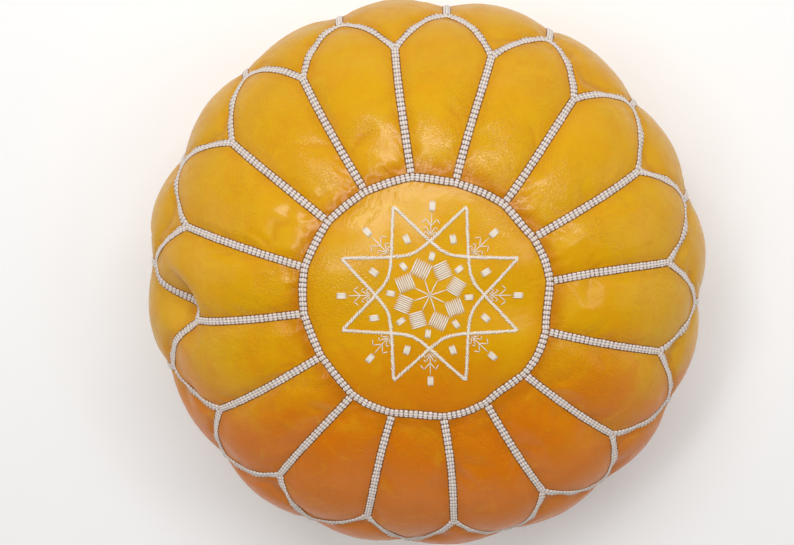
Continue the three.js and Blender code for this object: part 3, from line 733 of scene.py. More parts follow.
def brass_finish():
    """Cast brass, dulled by handling."""
    f = Finish("zip_brass", 0.34, metallic=1.0)
    tarnish = f.ramp(f.noise(220, 5, 0.65), 0.35, 0.7)
    f.set("Base Color", f.mix(tarnish, srgb(206, 168, 92), srgb(142, 104, 48)))
    f.set("Roughness", f.math("ADD", 0.26, f.some(0.2, tarnish)))
    f.bumps((f.noise(900, 4), 0.15, 0.2 * MM))
    return f.material


def floor_finish():
    """A matt pale floor."""
    f = Finish("floor", 0.75, specular=0.2)
    f.set("Base Color", f.mix(f.noise(3, 2), (0.95, 0.95, 0.95, 1), (0.98, 0.98, 0.98, 1)))
    return f.material


# Each leather has a bright, a warm and a deep colour, and its roughness where it is smoothest; the warm and
# the deep colours are also the colours of its painted shade.
MUSTARD = leather_finish("mustard_leather", srgb(206, 155, 0), srgb(204, 109, 0), srgb(176, 94, 0), 0.42)
BASE_MUSTARD = leather_finish("base_leather", srgb(192, 136, 4), srgb(172, 104, 3), srgb(138, 74, 3), 0.46)
SEAM_THREAD = thread_finish("seam_thread", srgb(222, 212, 205), srgb(150, 134, 132))
EMBROIDERY = thread_finish("embroidery_thread", srgb(228, 219, 205), srgb(184, 158, 116))
EDGE_SHADOW = edge_shadow_finish()
BRASS = brass_finish()
TAPE = cotton_finish("zip_tape", srgb(190, 142, 60), srgb(168, 120, 46), 900)
CALICO = cotton_finish("calico", srgb(226, 216, 194), srgb(210, 198, 172), 1100)
FIBRE = cotton_finish("cotton_fill", srgb(232, 228, 218), srgb(206, 200, 188), 260)


# ---- leather panels ----
def panel_node(number):
    """The CAD node of a panel's number."""
    if number == 0:
        return "medallion_panel"
    if number <= PETALS:
        return f"petal_panel_{number:02d}"
    return f"side_panel_{number - PETALS:02d}"


def seam_distance(points):
    """Distance of each point from the nearest seam line."""
    lines = [line for network in seam_lines().values() for line in network]
    samples = np.concatenate([on_cover(*line, -SEAM_SINK) for line in lines])
    tree = KDTree(len(samples))
    for i, p in enumerate(samples):
        tree.insert(p, i)
    tree.balance()
    return np.array([tree.find(p)[2] for p in points])


CAVITY_ROUNDS = 8  # how often the surface is smoothed to find its hollows
CAVITY_DEPTH = 0.6 * MM  # the depth of a full hollow


def cavities(mesh, points):
    """How hollow the surface is at each point, from 0 to 1: its neighbours stand above it."""
    a, b = gathered(mesh.edges, "vertices", 2, np.int32).T
    normals = gathered(mesh.vertex_normals, "vector", 3)
    smooth = points.copy()
    count = np.bincount(a, minlength=len(points)) + np.bincount(b, minlength=len(points))
    for _ in range(CAVITY_ROUNDS):
        total = np.zeros_like(smooth)
        np.add.at(total, a, smooth[b])
        np.add.at(total, b, smooth[a])
        smooth = 0.5 * smooth + 0.5 * total / np.maximum(count, 1)[:, None]
    hollow = ((smooth - points) * normals).sum(1)
    return np.clip(hollow / CAVITY_DEPTH, 0, 1)


VALLEY_OUT = 5 * MM  # how far outside the medallion's seam the ring of painted shade has its middle
VALLEY_WIDTH = 9 * MM
SIDE_SHADE_Y = (-20 * MM, 190 * MM)  # where, towards -Y, the painted shade starts and stops growing
SIDE_SHADE_HEIGHT = (20 * MM, 240 * MM)  # where, upwards, it goes from its least to full
LEAST_SIDE_SHADE = 0.45  # the share of the painted shade near the floor


def make_panels(mesh):
    """Parts the cover at its seams into panels with the leather's thickness."""
    points = coordinates(mesh)
    seam = seam_distance(points)
    # Painted shade in the hollows of the surface.
    cavity_shade = cavities(mesh, points)
    radius = np.hypot(points[:, 0], points[:, 1])
    # Painted shade in a ring just outside the medallion's seam.
    valley_shade = np.exp(-(((radius - RING_RADIUS - VALLEY_OUT) / VALLEY_WIDTH) ** 2)) * (radius > RING_RADIUS)
    # Painted shade: the side towards -Y, away from the key lamp, gets the warm colour, most of it higher up.
    higher = LEAST_SIDE_SHADE + (1 - LEAST_SIDE_SHADE) * smoothstep(points[:, 2], *SIDE_SHADE_HEIGHT)
    dye_and_painted_shade = smoothstep(-points[:, 1], *SIDE_SHADE_Y) * higher
    panels = gathered(mesh.polygons, "material_index", 1, np.int32)[:, 0]
    corners = [tuple(p.vertices) for p in mesh.polygons]
    for number in range(1 + 2 * PETALS):
        chosen = [corners[i] for i in np.flatnonzero(panels == number)]
        used = sorted({v for face in chosen for v in face})
        renumbered = {v: i for i, v in enumerate(used)}
        faces = [tuple(renumbered[v] for v in face) for face in chosen]
        values = {"seam": seam[used], "cavity_shade": cavity_shade[used], "valley_shade": valley_shade[used], "dye_and_painted_shade": dye_and_painted_shade[used]}
        if number == 0:
            values["valley_shade"] = np.zeros(len(used))
        node = panel_node(number)
        name = node.replace("_panel", "_leather")
        piece = new_object(name, points[used], faces, MUSTARD, values)
        thicken(piece, LEATHER)
        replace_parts(piece, node)


# ---- threads ----
class Threads:
    """Tubes of thread, gathered into one piece."""

    def __init__(self, seed=0):
        self.rng = np.random.default_rng(seed)
        self.points, self.faces, self.shade, self.tone = [], [], [], []
        self.count = 0

    def add(self, rings, shade, tone):
        """One tube from its rings of points, with a shade for each ring and one tone."""
        stations, sides, _ = rings.shape
        self.faces += tube_faces(stations, sides, self.count)
        self.count += stations * sides
        self.points.append(rings.reshape(-1, 3))
        self.shade.append(np.repeat(shade, sides))
        self.tone.append(np.full(stations * sides, tone))

    def piece(self, name, finish, slot):
        """All the threads as one object."""
        values = {"shade": np.concatenate(self.shade), "tone": np.concatenate(self.tone)}
        return new_object(name, np.concatenate(self.points), self.faces, finish, values)


def oval(across, up, sides):
    """Points round an oval, from its half sizes as vectors."""
    angle = math.tau * (np.arange(sides) + 0.5) / sides
    return across * np.cos(angle)[:, None] + up * np.sin(angle)[:, None]


# ---- seam stitches ----
STITCH_PITCH = 4.4 * MM
STITCH_STATIONS = np.array([-1, -0.94, -0.76, -0.52, -0.37, -0.22, 0, 0.22, 0.37, 0.52, 0.76, 0.94, 1])
STITCH_SIDES = 8
STITCH_WIDE = 2.22 * MM  # half of the thread's width along the seam
STITCH_HIGH = 1.4 * MM  # half of its height
STITCH_ARCH = 0.9 * MM  # how far the middle of a stitch stands above its ends
STITCH_SUNK = 0.3 * MM  # how far the ends lie in the leather
PINCH = 0.37  # the two running threads draw a stitch in at this share of its half length
EDGE_SHADOW_BEYOND = 0.45 * MM  # how far the strip of painted shadow shows beside the stitches
EDGE_SHADOW_LIFT = 0.3 * MM
EDGE_SHADOW_THICK = 0.5 * MM
EDGE_SHADOW_STEP = 3 * MM


def stitch_thickness(u):
    """How thick a stitch is along its length, 1 at the middle of a bead."""
    pinch = 1 - 0.3 * np.exp(-(((np.abs(u) - PINCH) / 0.1) ** 2))
    return pinch * np.sqrt(np.maximum(1 - np.abs(u) ** 5, 0.03))


def stitch(ground, point, along, normal, side, rng):
    """Rings and painted shade of a stitch across a seam: a roll in three beads whose ends go into the
    leather.
    """
    half = BAND_HALF * rng.uniform(0.93, 1.06)
    skew = rng.normal(0, 0.06)
    along = along + side * skew
    laid = np.array([ground.below(point + side * u * half, normal) for u in STITCH_STATIONS])
    chord = laid[0] + (laid[-1] - laid[0]) * ((STITCH_STATIONS + 1) / 2)[:, None]
    middle = 0.45 * laid + 0.55 * chord
    lift = STITCH_ARCH * (1 - STITCH_STATIONS**6) - STITCH_SUNK
    wide = STITCH_WIDE * rng.uniform(0.95, 1.04)
    high = STITCH_HIGH * rng.uniform(0.92, 1.1)
    thick = stitch_thickness(STITCH_STATIONS)[:, None, None]
    section = oval(along * wide, normal * high, STITCH_SIDES)
    rings = (middle + normal * lift[:, None])[:, None, :] + thick * section
    # Painted shade in the grooves where the running threads pinch the stitch.
    shade = np.clip(1.15 * np.exp(-(((np.abs(STITCH_STATIONS) - PINCH) / 0.09) ** 2)), 0, 1)
    return rings, shade


def band_sections(ground, line):
    """The dark strip of painted shadow and raw edge under a row of stitches: five points across at each place
    along the seam.
    """
    across = np.linspace(-1, 1, 5) * (BAND_HALF + EDGE_SHADOW_BEYOND)
    rows = []
    point, _, normal, side = seam_frames(line, EDGE_SHADOW_STEP)
    for p, n, w in zip(point, normal, side):
        rows.append([ground.below(p + w * u, n) + n * EDGE_SHADOW_LIFT for u in across])
    return np.array(rows)


def make_band(name, node, lines, ground, closed_first, seed):
    """The stitches of one network of seams, and the dark strip of painted shadow and raw edge that shows
    between and beside them.
    """
    work = Threads(seed)
    points, faces = [], []
    start = 0
    for number, line in enumerate(lines):
        for place in zip(*seam_frames(line, STITCH_PITCH)):
            work.add(*stitch(ground, *place, work.rng), work.rng.uniform(0, 1))
        rows = band_sections(ground, line)
        closed = closed_first and number == 0
        faces += grid_faces(len(rows), rows.shape[1], True, start, lines_closed=closed)
        points.append(rows.reshape(-1, 3))
        start += len(points[-1])
    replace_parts(work.piece(name, SEAM_THREAD, "seam_thread"), node)
    # A dark sheet under the stitches: painted shadow, and the leather's raw edge.
    edge_shadow = new_object(name + "_edge_shadow", np.concatenate(points), faces, EDGE_SHADOW)
    thicken(edge_shadow, EDGE_SHADOW_THICK)


# ---- embroidery ----
STAR_TIPS = 8
TIP_STEP = math.tau / STAR_TIPS
STAR_TURN = math.radians(22.5)
STAR_RADIUS = 85 * MM
CROSSING = 0.57 * STAR_RADIUS  # where two threads of the star cross
WAIST = 0.475 * STAR_RADIUS  # where a thread comes nearest to the middle
EMBROIDERY_MIDDLE = np.array([3.2, 5.2]) * MM  # it was sewn a little off the middle
STRAND_SIDES = 6
STRAND_STEP = 1.3 * MM
ROPE_HIGH = 0.8 * MM
SATIN_HIGH = 0.62 * MM
FINE_HIGH = 0.5 * MM
UP = np.array([0.0, 0.0, 1.0])


def around(radius, angle):
    """A place on the medallion at a distance from the embroidery's middle."""
    return np.array([radius * math.cos(angle), radius * math.sin(angle)])


class Needlework(Threads):
    """Threads laid on the leather of the medallion."""

    def __init__(self, ground, seed):
        super().__init__(seed)
        self.ground = ground

    def thread(self, path, wide, high, sag=0.5):
        """One thread along a path on the leather, thick in the middle and going into it at its ends."""
        path = np.asarray(path, float) + EMBROIDERY_MIDDLE
        arc = lengths_along(path)
        count = max(5, int(arc[-1] / STRAND_STEP))
        share = np.linspace(0, 1, count)
        places = at_lengths(share * arc[-1], arc, path)
        laid = np.array([self.ground.below((*place, HEIGHT), UP) for place in places])
        end = np.abs(2 * share - 1)
        laid[:, 2] += high * (1.0 - sag * end**4) - 0.25 * high
        side = unit(np.cross(UP, unit(np.gradient(laid, axis=0))))
        thick = np.sqrt(np.maximum(1 - end**4, 0.12))[:, None, None]
        rings = laid[:, None, :] + thick * oval(side[:, None, :] * wide / 2, UP * high, STRAND_SIDES)
        # Painted shade towards the ends, where the thread goes into the leather.
        self.add(rings, 0.55 * end**3, self.rng.uniform(0, 0.8))

    def rope(self, path, pitch=2.7 * MM, reach=2.7 * MM, slant=1.5 * MM, wide=1.75 * MM):
        """Stem stitch: short strands that lie slantwise along a path, each overlapping the next."""
        arc = lengths_along(path)
        count = int(arc[-1] / pitch)
        for at in (np.arange(count) + 0.5) / count * arc[-1]:
            span = np.clip(at + reach * np.linspace(-1, 1, 5) * self.rng.uniform(0.85, 1.1), 0, arc[-1])
            line = at_lengths(span, arc, path)
            ahead = line[-1] - line[0]
            across = np.array([-ahead[1], ahead[0]]) / np.linalg.norm(ahead)
            offset = slant * np.linspace(-1, 1, 5) * self.rng.uniform(0.7, 1.2)
            offset = offset + self.rng.normal(0, 0.12 * MM)
            self.thread(line + across * offset[:, None], wide * self.rng.uniform(0.9, 1.1), ROPE_HIGH)

    def satin(self, middle, long, broad, turn, spacing, full=1.25):
        """A block of parallel threads as long as the block; over 1, full makes them overlap."""
        count = max(2, int(round(broad / spacing)))
        ahead, across = around(1, turn), around(1, turn + math.pi / 2)
        for at in (np.arange(count) + 0.5) / count - 0.5:
            middle_at = middle + across * at * broad
            half = ahead * long / 2 * self.rng.uniform(0.94, 1.03)
            turned = across * self.rng.normal(0, 0.04 * broad / count)
            path = [middle_at - half + turned, middle_at, middle_at + half - turned]
            self.thread(path, spacing * full * self.rng.uniform(0.94, 1.06), SATIN_HIGH)

    def embroidery(self, name):
        """All the threads as one piece of embroidery."""
        return self.piece(name, EMBROIDERY, "embroidery_thread")


def rounded_path(corners, steps=8):
    """A smooth line through corner points (Catmull-Rom)."""
    corners = np.asarray(corners)
    padded = np.concatenate([[2 * corners[0] - corners[1]], corners, [2 * corners[-1] - corners[-2]]])
    t = np.linspace(0, 1, steps, endpoint=False)[:, None]
    parts = []
    for a, b, c, d in zip(padded, padded[1:], padded[2:], padded[3:]):
        bend, twist = 2 * a - 5 * b + 4 * c - d, 3 * b - a - 3 * c + d
        parts.append(0.5 * (2 * b + (c - a) * t + bend * t**2 + twist * t**3))
    return np.concatenate(parts + [corners[-1:]])


def make_star(ground):
    """Eight rope-stitched threads that cross to form an eight-pointed star."""
    work = Needlework(ground, 21)
    for k in range(STAR_TIPS):
        first, step = STAR_TURN + k * TIP_STEP, TIP_STEP / 2
        tip, crossing = around(STAR_RADIUS, first), around(CROSSING, first + step)
        far_crossing, far_tip = around(CROSSING, first + 3 * step), around(STAR_RADIUS, first + 4 * step)
        corners = [tip, (tip + crossing) / 2, crossing, around(WAIST, first + 2 * step)]
        corners += [far_crossing, (far_tip + far_crossing) / 2, far_tip]
        work.rope(rounded_path(corners))
    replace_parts(work.embroidery("star_ropes"), "star_embroidery")


ROSETTE_TURN = math.radians(-4)
ROSETTE_RADIUS = 24.5 * MM
ROSETTE_BLOCK = 15.4 * MM
ROSETTE_THREAD = 1.9 * MM
SPOKE = 15.2 * MM
SPOKE_THREAD = 1.15 * MM
SPOKE_HIGH = 0.55 * MM


def make_rosette(ground):
    """Eight satin squares round a middle, and a spoke to the inner corner of each."""
    work = Needlework(ground, 22)
    for k in range(STAR_TIPS):
        angle = STAR_TURN + ROSETTE_TURN + k * TIP_STEP
        turn = angle - math.pi / 4 + work.rng.normal(0, 0.07)
        size = ROSETTE_BLOCK * work.rng.uniform(0.94, 1.05)
        work.satin(around(ROSETTE_RADIUS, angle), size, size, turn, ROSETTE_THREAD, 0.83)
        work.thread([around(0, 0), around(SPOKE / 2, angle), around(SPOKE, angle)], SPOKE_THREAD, SPOKE_HIGH)
    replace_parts(work.embroidery("rosette_satin"), "rosette_embroidery")


# The branches of an outer motif, as (outward, sideways) corners measured from the star's crossing.
MOTIF_BRANCHES = [
    [(5.4, 0), (12.5, 4.0), (10.0, 6.2)],
    [(13.0, 0), (19.5, 5.5), (15.0, 8.6)],
    [(4.2, 0.6), (8.6, 4.6), (5.6, 6.4)],
]
MOTIF_STEM = (3.5, 25.0)
FINE_THREAD = 0.95 * MM
# Each kind of small satin block: its distance, length, breadth and thread spacing.
TIP_BLOCK = (53.8 * MM, 9.2 * MM, 5.4 * MM, 1.3 * MM)  # from the embroidery's middle
GAP_BLOCK = (34.8 * MM, 8.6 * MM, 4.8 * MM, 1.2 * MM)
MOTIF_BLOCK = (30.5 * MM, 9.6 * MM, 5.2 * MM, 1.3 * MM)  # from the star's crossing
GAP_BLOCK_ASIDE, GAP_BLOCK_TURN = -0.05, -0.06  # in radians, off the middle of the gap


def make_motifs(ground):
    """The star's small satin blocks, and the branches with a block of their own outside its crossings."""
    work = Needlework(ground, 23)

    def block(kind, origin, outwards, turn):
        distance, long, broad, spacing = kind
        work.satin(origin + around(distance, outwards), long, broad, turn, spacing)

    def fine_thread(start, end, sag):
        work.thread([start, (start + end) / 2, end], FINE_THREAD, FINE_HIGH, sag)

    for k in range(STAR_TIPS):
        tip_angle = STAR_TURN + k * TIP_STEP
        gap_angle = tip_angle + TIP_STEP / 2
        middle, crossing = around(0, 0), around(CROSSING, gap_angle)
        block(TIP_BLOCK, middle, tip_angle, tip_angle + work.rng.normal(0, 0.25))
        turn = gap_angle + GAP_BLOCK_TURN + work.rng.normal(0, 0.12)
        block(GAP_BLOCK, middle, gap_angle + GAP_BLOCK_ASIDE, turn)
        lean = gap_angle + work.rng.normal(0, 0.05)
        out, aside = around(1, lean), around(1, lean + math.pi / 2)
        block(MOTIF_BLOCK, crossing, lean, lean)
        root, tip = (crossing + out * at * MM for at in MOTIF_STEM)
        fine_thread(root, tip, 0.5)
        for corners in MOTIF_BRANCHES:
            for hand in (-1, 1):
                grown = work.rng.uniform(0.88, 1.1)
                places = [crossing + (out * a + aside * b * hand * grown) * MM for a, b in corners]
                for start, end in zip(places, places[1:]):
                    fine_thread(start, end, 0.3)
    work.embroidery("motif_threads")


# ---- the base ----
ZIP_LIFT = 5 * MM  # how far the leather beside the zip stands above the floor
ZIP_LIFT_SIDE = (13 * MM, 34 * MM)  # where it comes down to the floor, sideways from the zip
ZIP_LIFT_END = (157 * MM, 177 * MM)  # and beyond the zip's ends
LIP_OPEN = 5.6 * MM
LIP_SHUT = 0.35 * MM
LIP_CLOSES = (156 * MM, 174 * MM)  # where the slit narrows beyond the zip's ends
STITCHED_LENGTH = 150 * MM  # how far from the middle the lips are stitched to the tapes
RIM_PLEATS = 46  # the base leather's gathers, all round
RIM_PLEAT_HIGH = 0.75 * MM
RIM_PLEAT_REACH = 15 * MM
ZIP_PLEAT_HIGH = 0.35 * MM
ZIP_PLEAT_ASIDE = 14 * MM  # how far from the zip its pleats are highest
ZIP_PLEAT_REACH = 9 * MM
BASE_BULGE = 0.5 * MM
BASE_GAP = 0.1 * MM  # the base leather stays this far above the floor
BASE_COLUMNS = 220
BASE_ROWS = 70


def base_rim():
    """Radius and height of the row of the cover that the base leather is sewn to."""
    edge = on_cover(np.zeros(1), S_BASE, -SEAM_SINK)[0]
    return edge[0], edge[2]


def lip_edge(x):
    """How far the cut edge of the leather lies from the zip's centre line."""
    return LIP_OPEN + (LIP_SHUT - LIP_OPEN) * smoothstep(np.abs(x), *LIP_CLOSES)


def base_height(x, y):
    """The height of the base's underside: flat, raised along the zip and at its rim, drawn by its seams."""
    rim_radius, rim_height = base_rim()
    radius, angle = np.hypot(x, y), np.arctan2(y, x)
    from_rim = rim_radius - radius
    part = ARC >= S_WIDEST
    order = np.argsort(OUT_R[part])
    height = np.interp(radius, OUT_R[part][order], OUT_Z[part][order]) * (radius > BASE_FLAT_RADIUS)
    height = height + (rim_height - height) * smoothstep(radius, BASE_FLAT_RADIUS, rim_radius)
    lift = ZIP_LIFT * (1 - smoothstep(np.abs(y), *ZIP_LIFT_SIDE))
    height = height + lift * (1 - smoothstep(np.abs(x), *ZIP_LIFT_END))
    ripple = 1 + np.sin(RIM_PLEATS * angle + 3 * np.sin(5 * angle + 1) + 2 * np.sin(9 * angle))
    pleats = RIM_PLEAT_HIGH * ripple * np.exp(-from_rim / RIM_PLEAT_REACH) * smoothstep(from_rim, 0, 5 * MM)
    ripple = 1 + np.sin(x / (7 * MM) + 2 * np.sin(x / (31 * MM)) + np.sign(y))
    beside_zip = np.exp(-(((np.abs(y) - ZIP_PLEAT_ASIDE) / ZIP_PLEAT_REACH) ** 2))
    beside_zip = beside_zip * (np.abs(x) < STITCHED_LENGTH)
    bulge = BASE_BULGE * (1 + waves(51, angle, radius, 6, 0.08)) * smoothstep(from_rim, 0, 20 * MM)
    return height + pleats + ZIP_PLEAT_HIGH * ripple * beside_zip + np.maximum(bulge, 0) + BASE_GAP


def strip(x, inner, outer, shares):
    """A grid of places beside the zip, from an inner to an outer distance at each x."""
    return np.repeat(x[:, None], len(shares), 1), inner[:, None] + (outer - inner)[:, None] * shares[None, :]


def base_mesh(hand):
    """Half of the base leather, from its lip along the zip to its rim; hand is -1 in front and 1 behind."""
    rim_radius, _ = base_rim()
    furthest = math.asin((rim_radius - 0.02 * MM) / rim_radius)
    x = rim_radius * np.sin(np.linspace(-furthest, furthest, BASE_COLUMNS))
    rim = np.sqrt(rim_radius**2 - x**2)
    lip = np.minimum(lip_edge(x), rim - 0.05 * MM)
    x, y = strip(x, lip, rim, np.linspace(0, 1, BASE_ROWS) ** 1.25)
    y = hand * y
    points = np.stack([x, y, base_height(x, y)], -1).reshape(-1, 3)
    mesh = bpy.data.meshes.new("base")
    mesh.from_pydata(points.tolist(), [], grid_faces(BASE_COLUMNS, BASE_ROWS, hand < 0))
    return mesh


def make_base(mesh, node):
    """One half of the base leather as a piece, with painted shade along its edges."""
    points = coordinates(mesh)
    radius = np.hypot(points[:, 0], points[:, 1])
    from_edge = np.minimum(base_rim()[0] - radius, np.abs(points[:, 1]) - lip_edge(points[:, 0]))
    plain = np.zeros(len(points))
    # The base gets painted shade along its edges and a flat share of the warm colour.
    values = {"seam": np.maximum(from_edge, 0), "cavity_shade": plain, "valley_shade": plain, "dye_and_painted_shade": plain + 0.3}
    faces = [tuple(p.vertices) for p in mesh.polygons]
    name = node.replace("_panel", "_leather")
    piece = new_object(name, points, faces, BASE_MUSTARD, values)
    thicken(piece, LEATHER)
    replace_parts(piece, node)


LIP_ROWS = (3.2 * MM, 8.6 * MM)  # how far the two rows of stitches lie from the lip's edge
LIP_PITCH = 4.2 * MM
LIP_STITCH = 1.5 * MM  # half the length of a stitch
LIP_THREAD = 0.42 * MM  # half its thickness
LIP_STITCH_PROUD = 0.35 * MM  # how far the middle of a stitch stands off the leather beyond its ends
LIP_STITCH_SUNK = 0.2 * MM


def make_lip_stitches():
    """Two rows of short stitches that hold each lip of the base leather to its zip tape."""
    share = np.linspace(-1, 1, 5)
    section = LIP_THREAD * oval(np.array([0, 0, -1]), np.array([0, 1, 0]), STRAND_SIDES)
    shade = np.full(len(share), 0.3)
    work = Threads()
    for hand in (-1, 1):
        for inset in LIP_ROWS:
            for x in np.arange(-STITCHED_LENGTH, STITCHED_LENGTH + 0.1 * MM, LIP_PITCH):
                at = x + share * LIP_STITCH
                y = hand * (lip_edge(at) + inset)
                z = base_height(at, y) - LIP_STITCH_PROUD * (1 - share**4) + LIP_STITCH_SUNK
                work.add(np.stack([at, y, z], -1)[:, None, :] + section, shade, 0.9)
    work.piece("lip_stitches", SEAM_THREAD, "seam_thread")


# ---- the zip ----
TEETH_ROUNDED = 0.35 * MM
METAL_ROUNDED = 0.3 * MM


def dress(node, finish, round_over):
    """Gives a CAD node that stays in the scene its finish and rounded edges."""
    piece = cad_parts[node]
    piece.data.materials.clear()
    piece.data.materials.append(finish)
    bevel = piece.modifiers.new("rounded_edges", "BEVEL")
    bevel.width = round_over
    bevel.segments = 3
    bevel.limit_method = "ANGLE"
    bevel.angle_limit = math.radians(40)


TAPE_CLOSED = 172 * MM  # how far the tapes run on, edge to edge, beyond the teeth
TAPE_MEET = 4 * MM  # over this length beyond the teeth they come together
TAPE_RIPPLE = 0.22 * MM
TAPE_COLUMNS, TAPE_ROWS = 380, 14


def make_tape(hand, node):
    """A woven zip tape, rippled by its stitching, that meets the other tape beyond the teeth."""
    low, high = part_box(node)
    inner, outer = sorted((abs(low.y), abs(high.y)))
    teeth_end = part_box("zip_stop_rear")[1].x
    x = np.linspace(-TAPE_CLOSED, TAPE_CLOSED, TAPE_COLUMNS)
    edge = inner + (0.15 * MM - inner) * smoothstep(np.abs(x), teeth_end, teeth_end + TAPE_MEET)
    x, down = strip(x, edge, outer, np.linspace(0, 1, TAPE_ROWS))
    ripple = TAPE_RIPPLE * np.sin(x / (2.3 * MM)) * smoothstep(down, inner + 3 * MM, outer)
    points = np.stack([x, hand * down, (low.z + high.z) / 2 + ripple], -1).reshape(-1, 3)
    faces = grid_faces(TAPE_COLUMNS, TAPE_ROWS, hand < 0)
    piece = new_object(node + "_weave", points, faces, TAPE)
    thicken(piece, high.z - low.z - 0.2 * MM, 0)
    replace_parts(piece, node)


# ---- inside the cover ----
LINER_DEPTH = 6.5 * MM
LINER_THICK = 0.8 * MM
STUFFING_DEPTH = 9.0 * MM
STUFFING_GAP = 1 * MM  # between the stuffing and the bottom of the liner
BAG_MOUTH = 1.5 * MM
BAG_COLUMNS = 160


def bag(depth, floor, wrinkle, seed):
    """A closed bag a given depth inside the cover, with its bottom at a height above the floor."""
    theta = math.tau * np.arange(BAG_COLUMNS) / BAG_COLUMNS
    points = []
    for s in np.concatenate([np.linspace(2 * MM, S_WIDEST, 45), np.linspace(S_WIDEST, S_BASE, 46)[1:]]):
        creases = np.abs(waves(seed, theta, s, 26, 0.07)) * wrinkle * min(s / (60 * MM), 1)
        ring = on_cover(theta, s, -depth - creases)
        ring[:, 2] = np.maximum(ring[:, 2], floor)
        points.append(ring)
    rim = np.hypot(points[-1][:, 0], points[-1][:, 1]).mean()
    for radius in np.linspace(rim, BAG_MOUTH, 24)[1:]:
        sag = wrinkle * np.abs(waves(seed + 1, theta, radius, 12, 0.05))
        points.append(np.stack([radius * np.cos(theta), radius * np.sin(theta), floor + sag], -1))
    last = (len(points) - 1) * BAG_COLUMNS
    faces = [tuple(range(BAG_COLUMNS)), *grid_faces(len(points), BAG_COLUMNS, True, across_closed=True)]
    faces.append(tuple(last + i for i in reversed(range(BAG_COLUMNS))))
    return np.concatenate(points), faces


def make_inside():
    """The cotton liner bag, drawn shut underneath, and the lumpy stuffing that fills it."""
    low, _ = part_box("inner_liner")
    points, faces = bag(LINER_DEPTH, low.z, 1 * MM, 61)
    liner = new_object("liner_bag", points, faces, CALICO)
    thicken(liner, LINER_THICK)
    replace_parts(liner, "inner_liner")
    low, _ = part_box("stuffing")
    points, faces = bag(STUFFING_DEPTH, low.z + STUFFING_GAP, 3 * MM, 62)
    stuffing = new_object("stuffing_fill", points, faces, FIBRE)
    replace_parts(stuffing, "stuffing")


# ---- the scene ----
CAMERA_TILT = math.radians(7.7)
CAMERA_DISTANCE = 1.3
LENS = 57.9
SHIFT_X, SHIFT_Y = -0.0369, 0.0043

# Each lamp: its name, place, width round the pouf, depth and watts.
LAMPS = [
    ("key", (0, 0.85, 1.75), 1.4, 0.25, 14.5),
    ("left_strip", (-0.45, 0.28, 1.75), 0.85, 0.2, 5.5),
    ("right_strip", (0.9, 0.3, 1.7), 0.7, 0.25, 2.5),
    ("left_fill", (-1.7, 0.2, 1.0), 1.0, 1.0, 3),
    ("right_fill", (1.7, 0.2, 1.0), 1.0, 1.0, 3),
    ("front_fill", (0, -1.8, 1.0), 1.6, 0.8, 3),
]
LAMP_TARGET = Vector((0, 0, 0.2))
DAYLIGHT = 0.72
WORLD_FADE = (0.05, 0.5, 0.95, 0.13)  # from and to which height of the sky, and how bright it is there
FLOOR_HALF = 15


def make_camera():
    """The photographer's view: nearly straight down on the medallion, from a little towards +Y."""
    centre = Vector((0, 0, HEIGHT / 2))
    back = Vector((0, math.sin(CAMERA_TILT), math.cos(CAMERA_TILT)))
    up = Vector((0, math.cos(CAMERA_TILT), -math.sin(CAMERA_TILT)))
    right = up.cross(back)
    data = bpy.data.cameras.new("camera")
    data.sensor_width = 36
    data.lens = LENS
    data.shift_x = SHIFT_X
    data.shift_y = SHIFT_Y
    camera = linked("camera", data)
    turn = Matrix((right, up, back)).transposed().to_4x4()
    camera.matrix_world = Matrix.Translation(centre + back * CAMERA_DISTANCE) @ turn
    bpy.context.scene.camera = camera


def area_light(name, place, width, height, watts):
    """A soft rectangular lamp that faces the pouf."""
    data = bpy.data.lights.new(name, "AREA")
    data.shape = "RECTANGLE"
    data.size = width
    data.size_y = height
    data.energy = watts
    light = linked(name, data)
    light.location = place
    light.rotation_euler = (LAMP_TARGET - Vector(place)).to_track_quat("-Z", "Y").to_euler()


def make_floor():
    """The pale floor."""
    mesh = bpy.data.meshes.new("floor")
    corners = [(x * FLOOR_HALF, y * FLOOR_HALF, 0) for x, y in ((-1, -1), (1, -1), (1, 1), (-1, 1))]
    mesh.from_pydata(corners, [], [(0, 1, 2, 3)])
    mesh.materials.append(floor_finish())
    linked("floor", mesh)


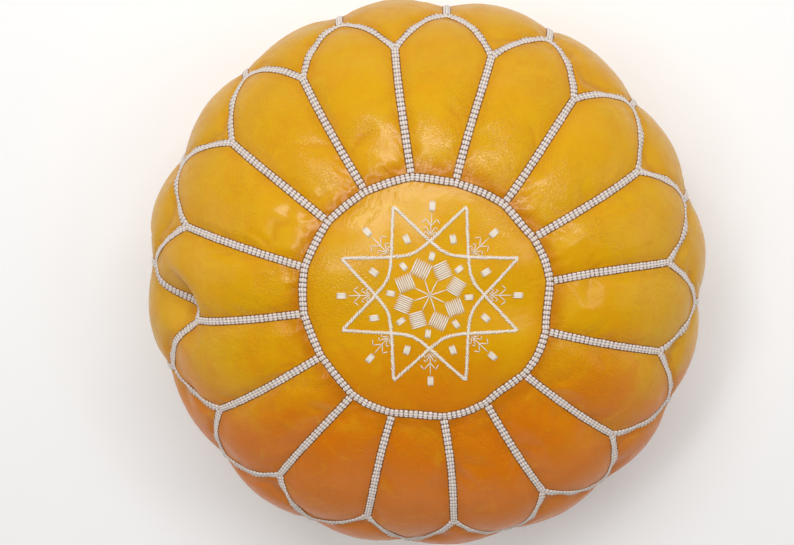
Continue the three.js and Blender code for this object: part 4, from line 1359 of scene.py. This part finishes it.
def make_lights():
    """Soft studio light, the strongest from beyond the pouf."""
    for lamp in LAMPS:
        area_light(*lamp)
    data = bpy.data.lights.new("daylight", "SUN")
    data.energy = DAYLIGHT
    data.angle = math.radians(100)
    linked("daylight", data).rotation_euler = (math.radians(-35), 0, 0)


def make_world():
    """A plain sky, bright at the horizon and dim above."""
    world = bpy.data.worlds.new("studio")
    world.use_nodes = True
    tree = world.node_tree
    direction = tree.nodes.new("ShaderNodeTexCoord").outputs["Generated"]
    parts = tree.nodes.new("ShaderNodeSeparateXYZ")
    tree.links.new(direction, parts.inputs[0])
    fade = tree.nodes.new("ShaderNodeMapRange")
    fade.interpolation_type = "SMOOTHSTEP"
    for name, number in zip(("From Min", "From Max", "To Min", "To Max"), WORLD_FADE):
        fade.inputs[name].default_value = number
    tree.links.new(parts.outputs["Z"], fade.inputs["Value"])
    tree.links.new(fade.outputs["Result"], tree.nodes["Background"].inputs["Strength"])
    tree.nodes["Background"].inputs["Color"].default_value = (1, 1, 1, 1)
    bpy.context.scene.world = world
    bpy.context.scene.view_settings.view_transform = "Standard"


make_camera()
make_floor()
make_lights()
make_world()
cover = make_cover()
inflate(cover)
cover_mesh = subdivided(cover)
base_meshes = {hand: base_mesh(hand) for hand in (-1, 1)}
ground = Ground(cover_mesh, *base_meshes.values())
make_panels(cover_mesh)
LINES = seam_lines()
make_band("ring_stitches", "medallion_ring_stitching", LINES["ring"], ground, True, 11)
make_band("petal_stitches", "petal_seam_stitching", LINES["petals"], ground, False, 12)
make_band("side_stitches", "side_seam_stitching", LINES["sides"], ground, True, 13)
make_star(ground)
make_rosette(ground)
make_motifs(ground)
make_base(base_meshes[-1], "base_panel_front")
make_base(base_meshes[1], "base_panel_rear")
make_lip_stitches()
make_tape(-1, "zip_tape_front")
make_tape(1, "zip_tape_rear")
for part in ("zip_teeth_front", "zip_teeth_rear"):
    dress(part, BRASS, TEETH_ROUNDED)
for part in ("zip_stop_open_end", "zip_stop_front", "zip_stop_rear", "zip_slider", "zip_pull"):
    dress(part, BRASS, METAL_ROUNDED)
make_inside()
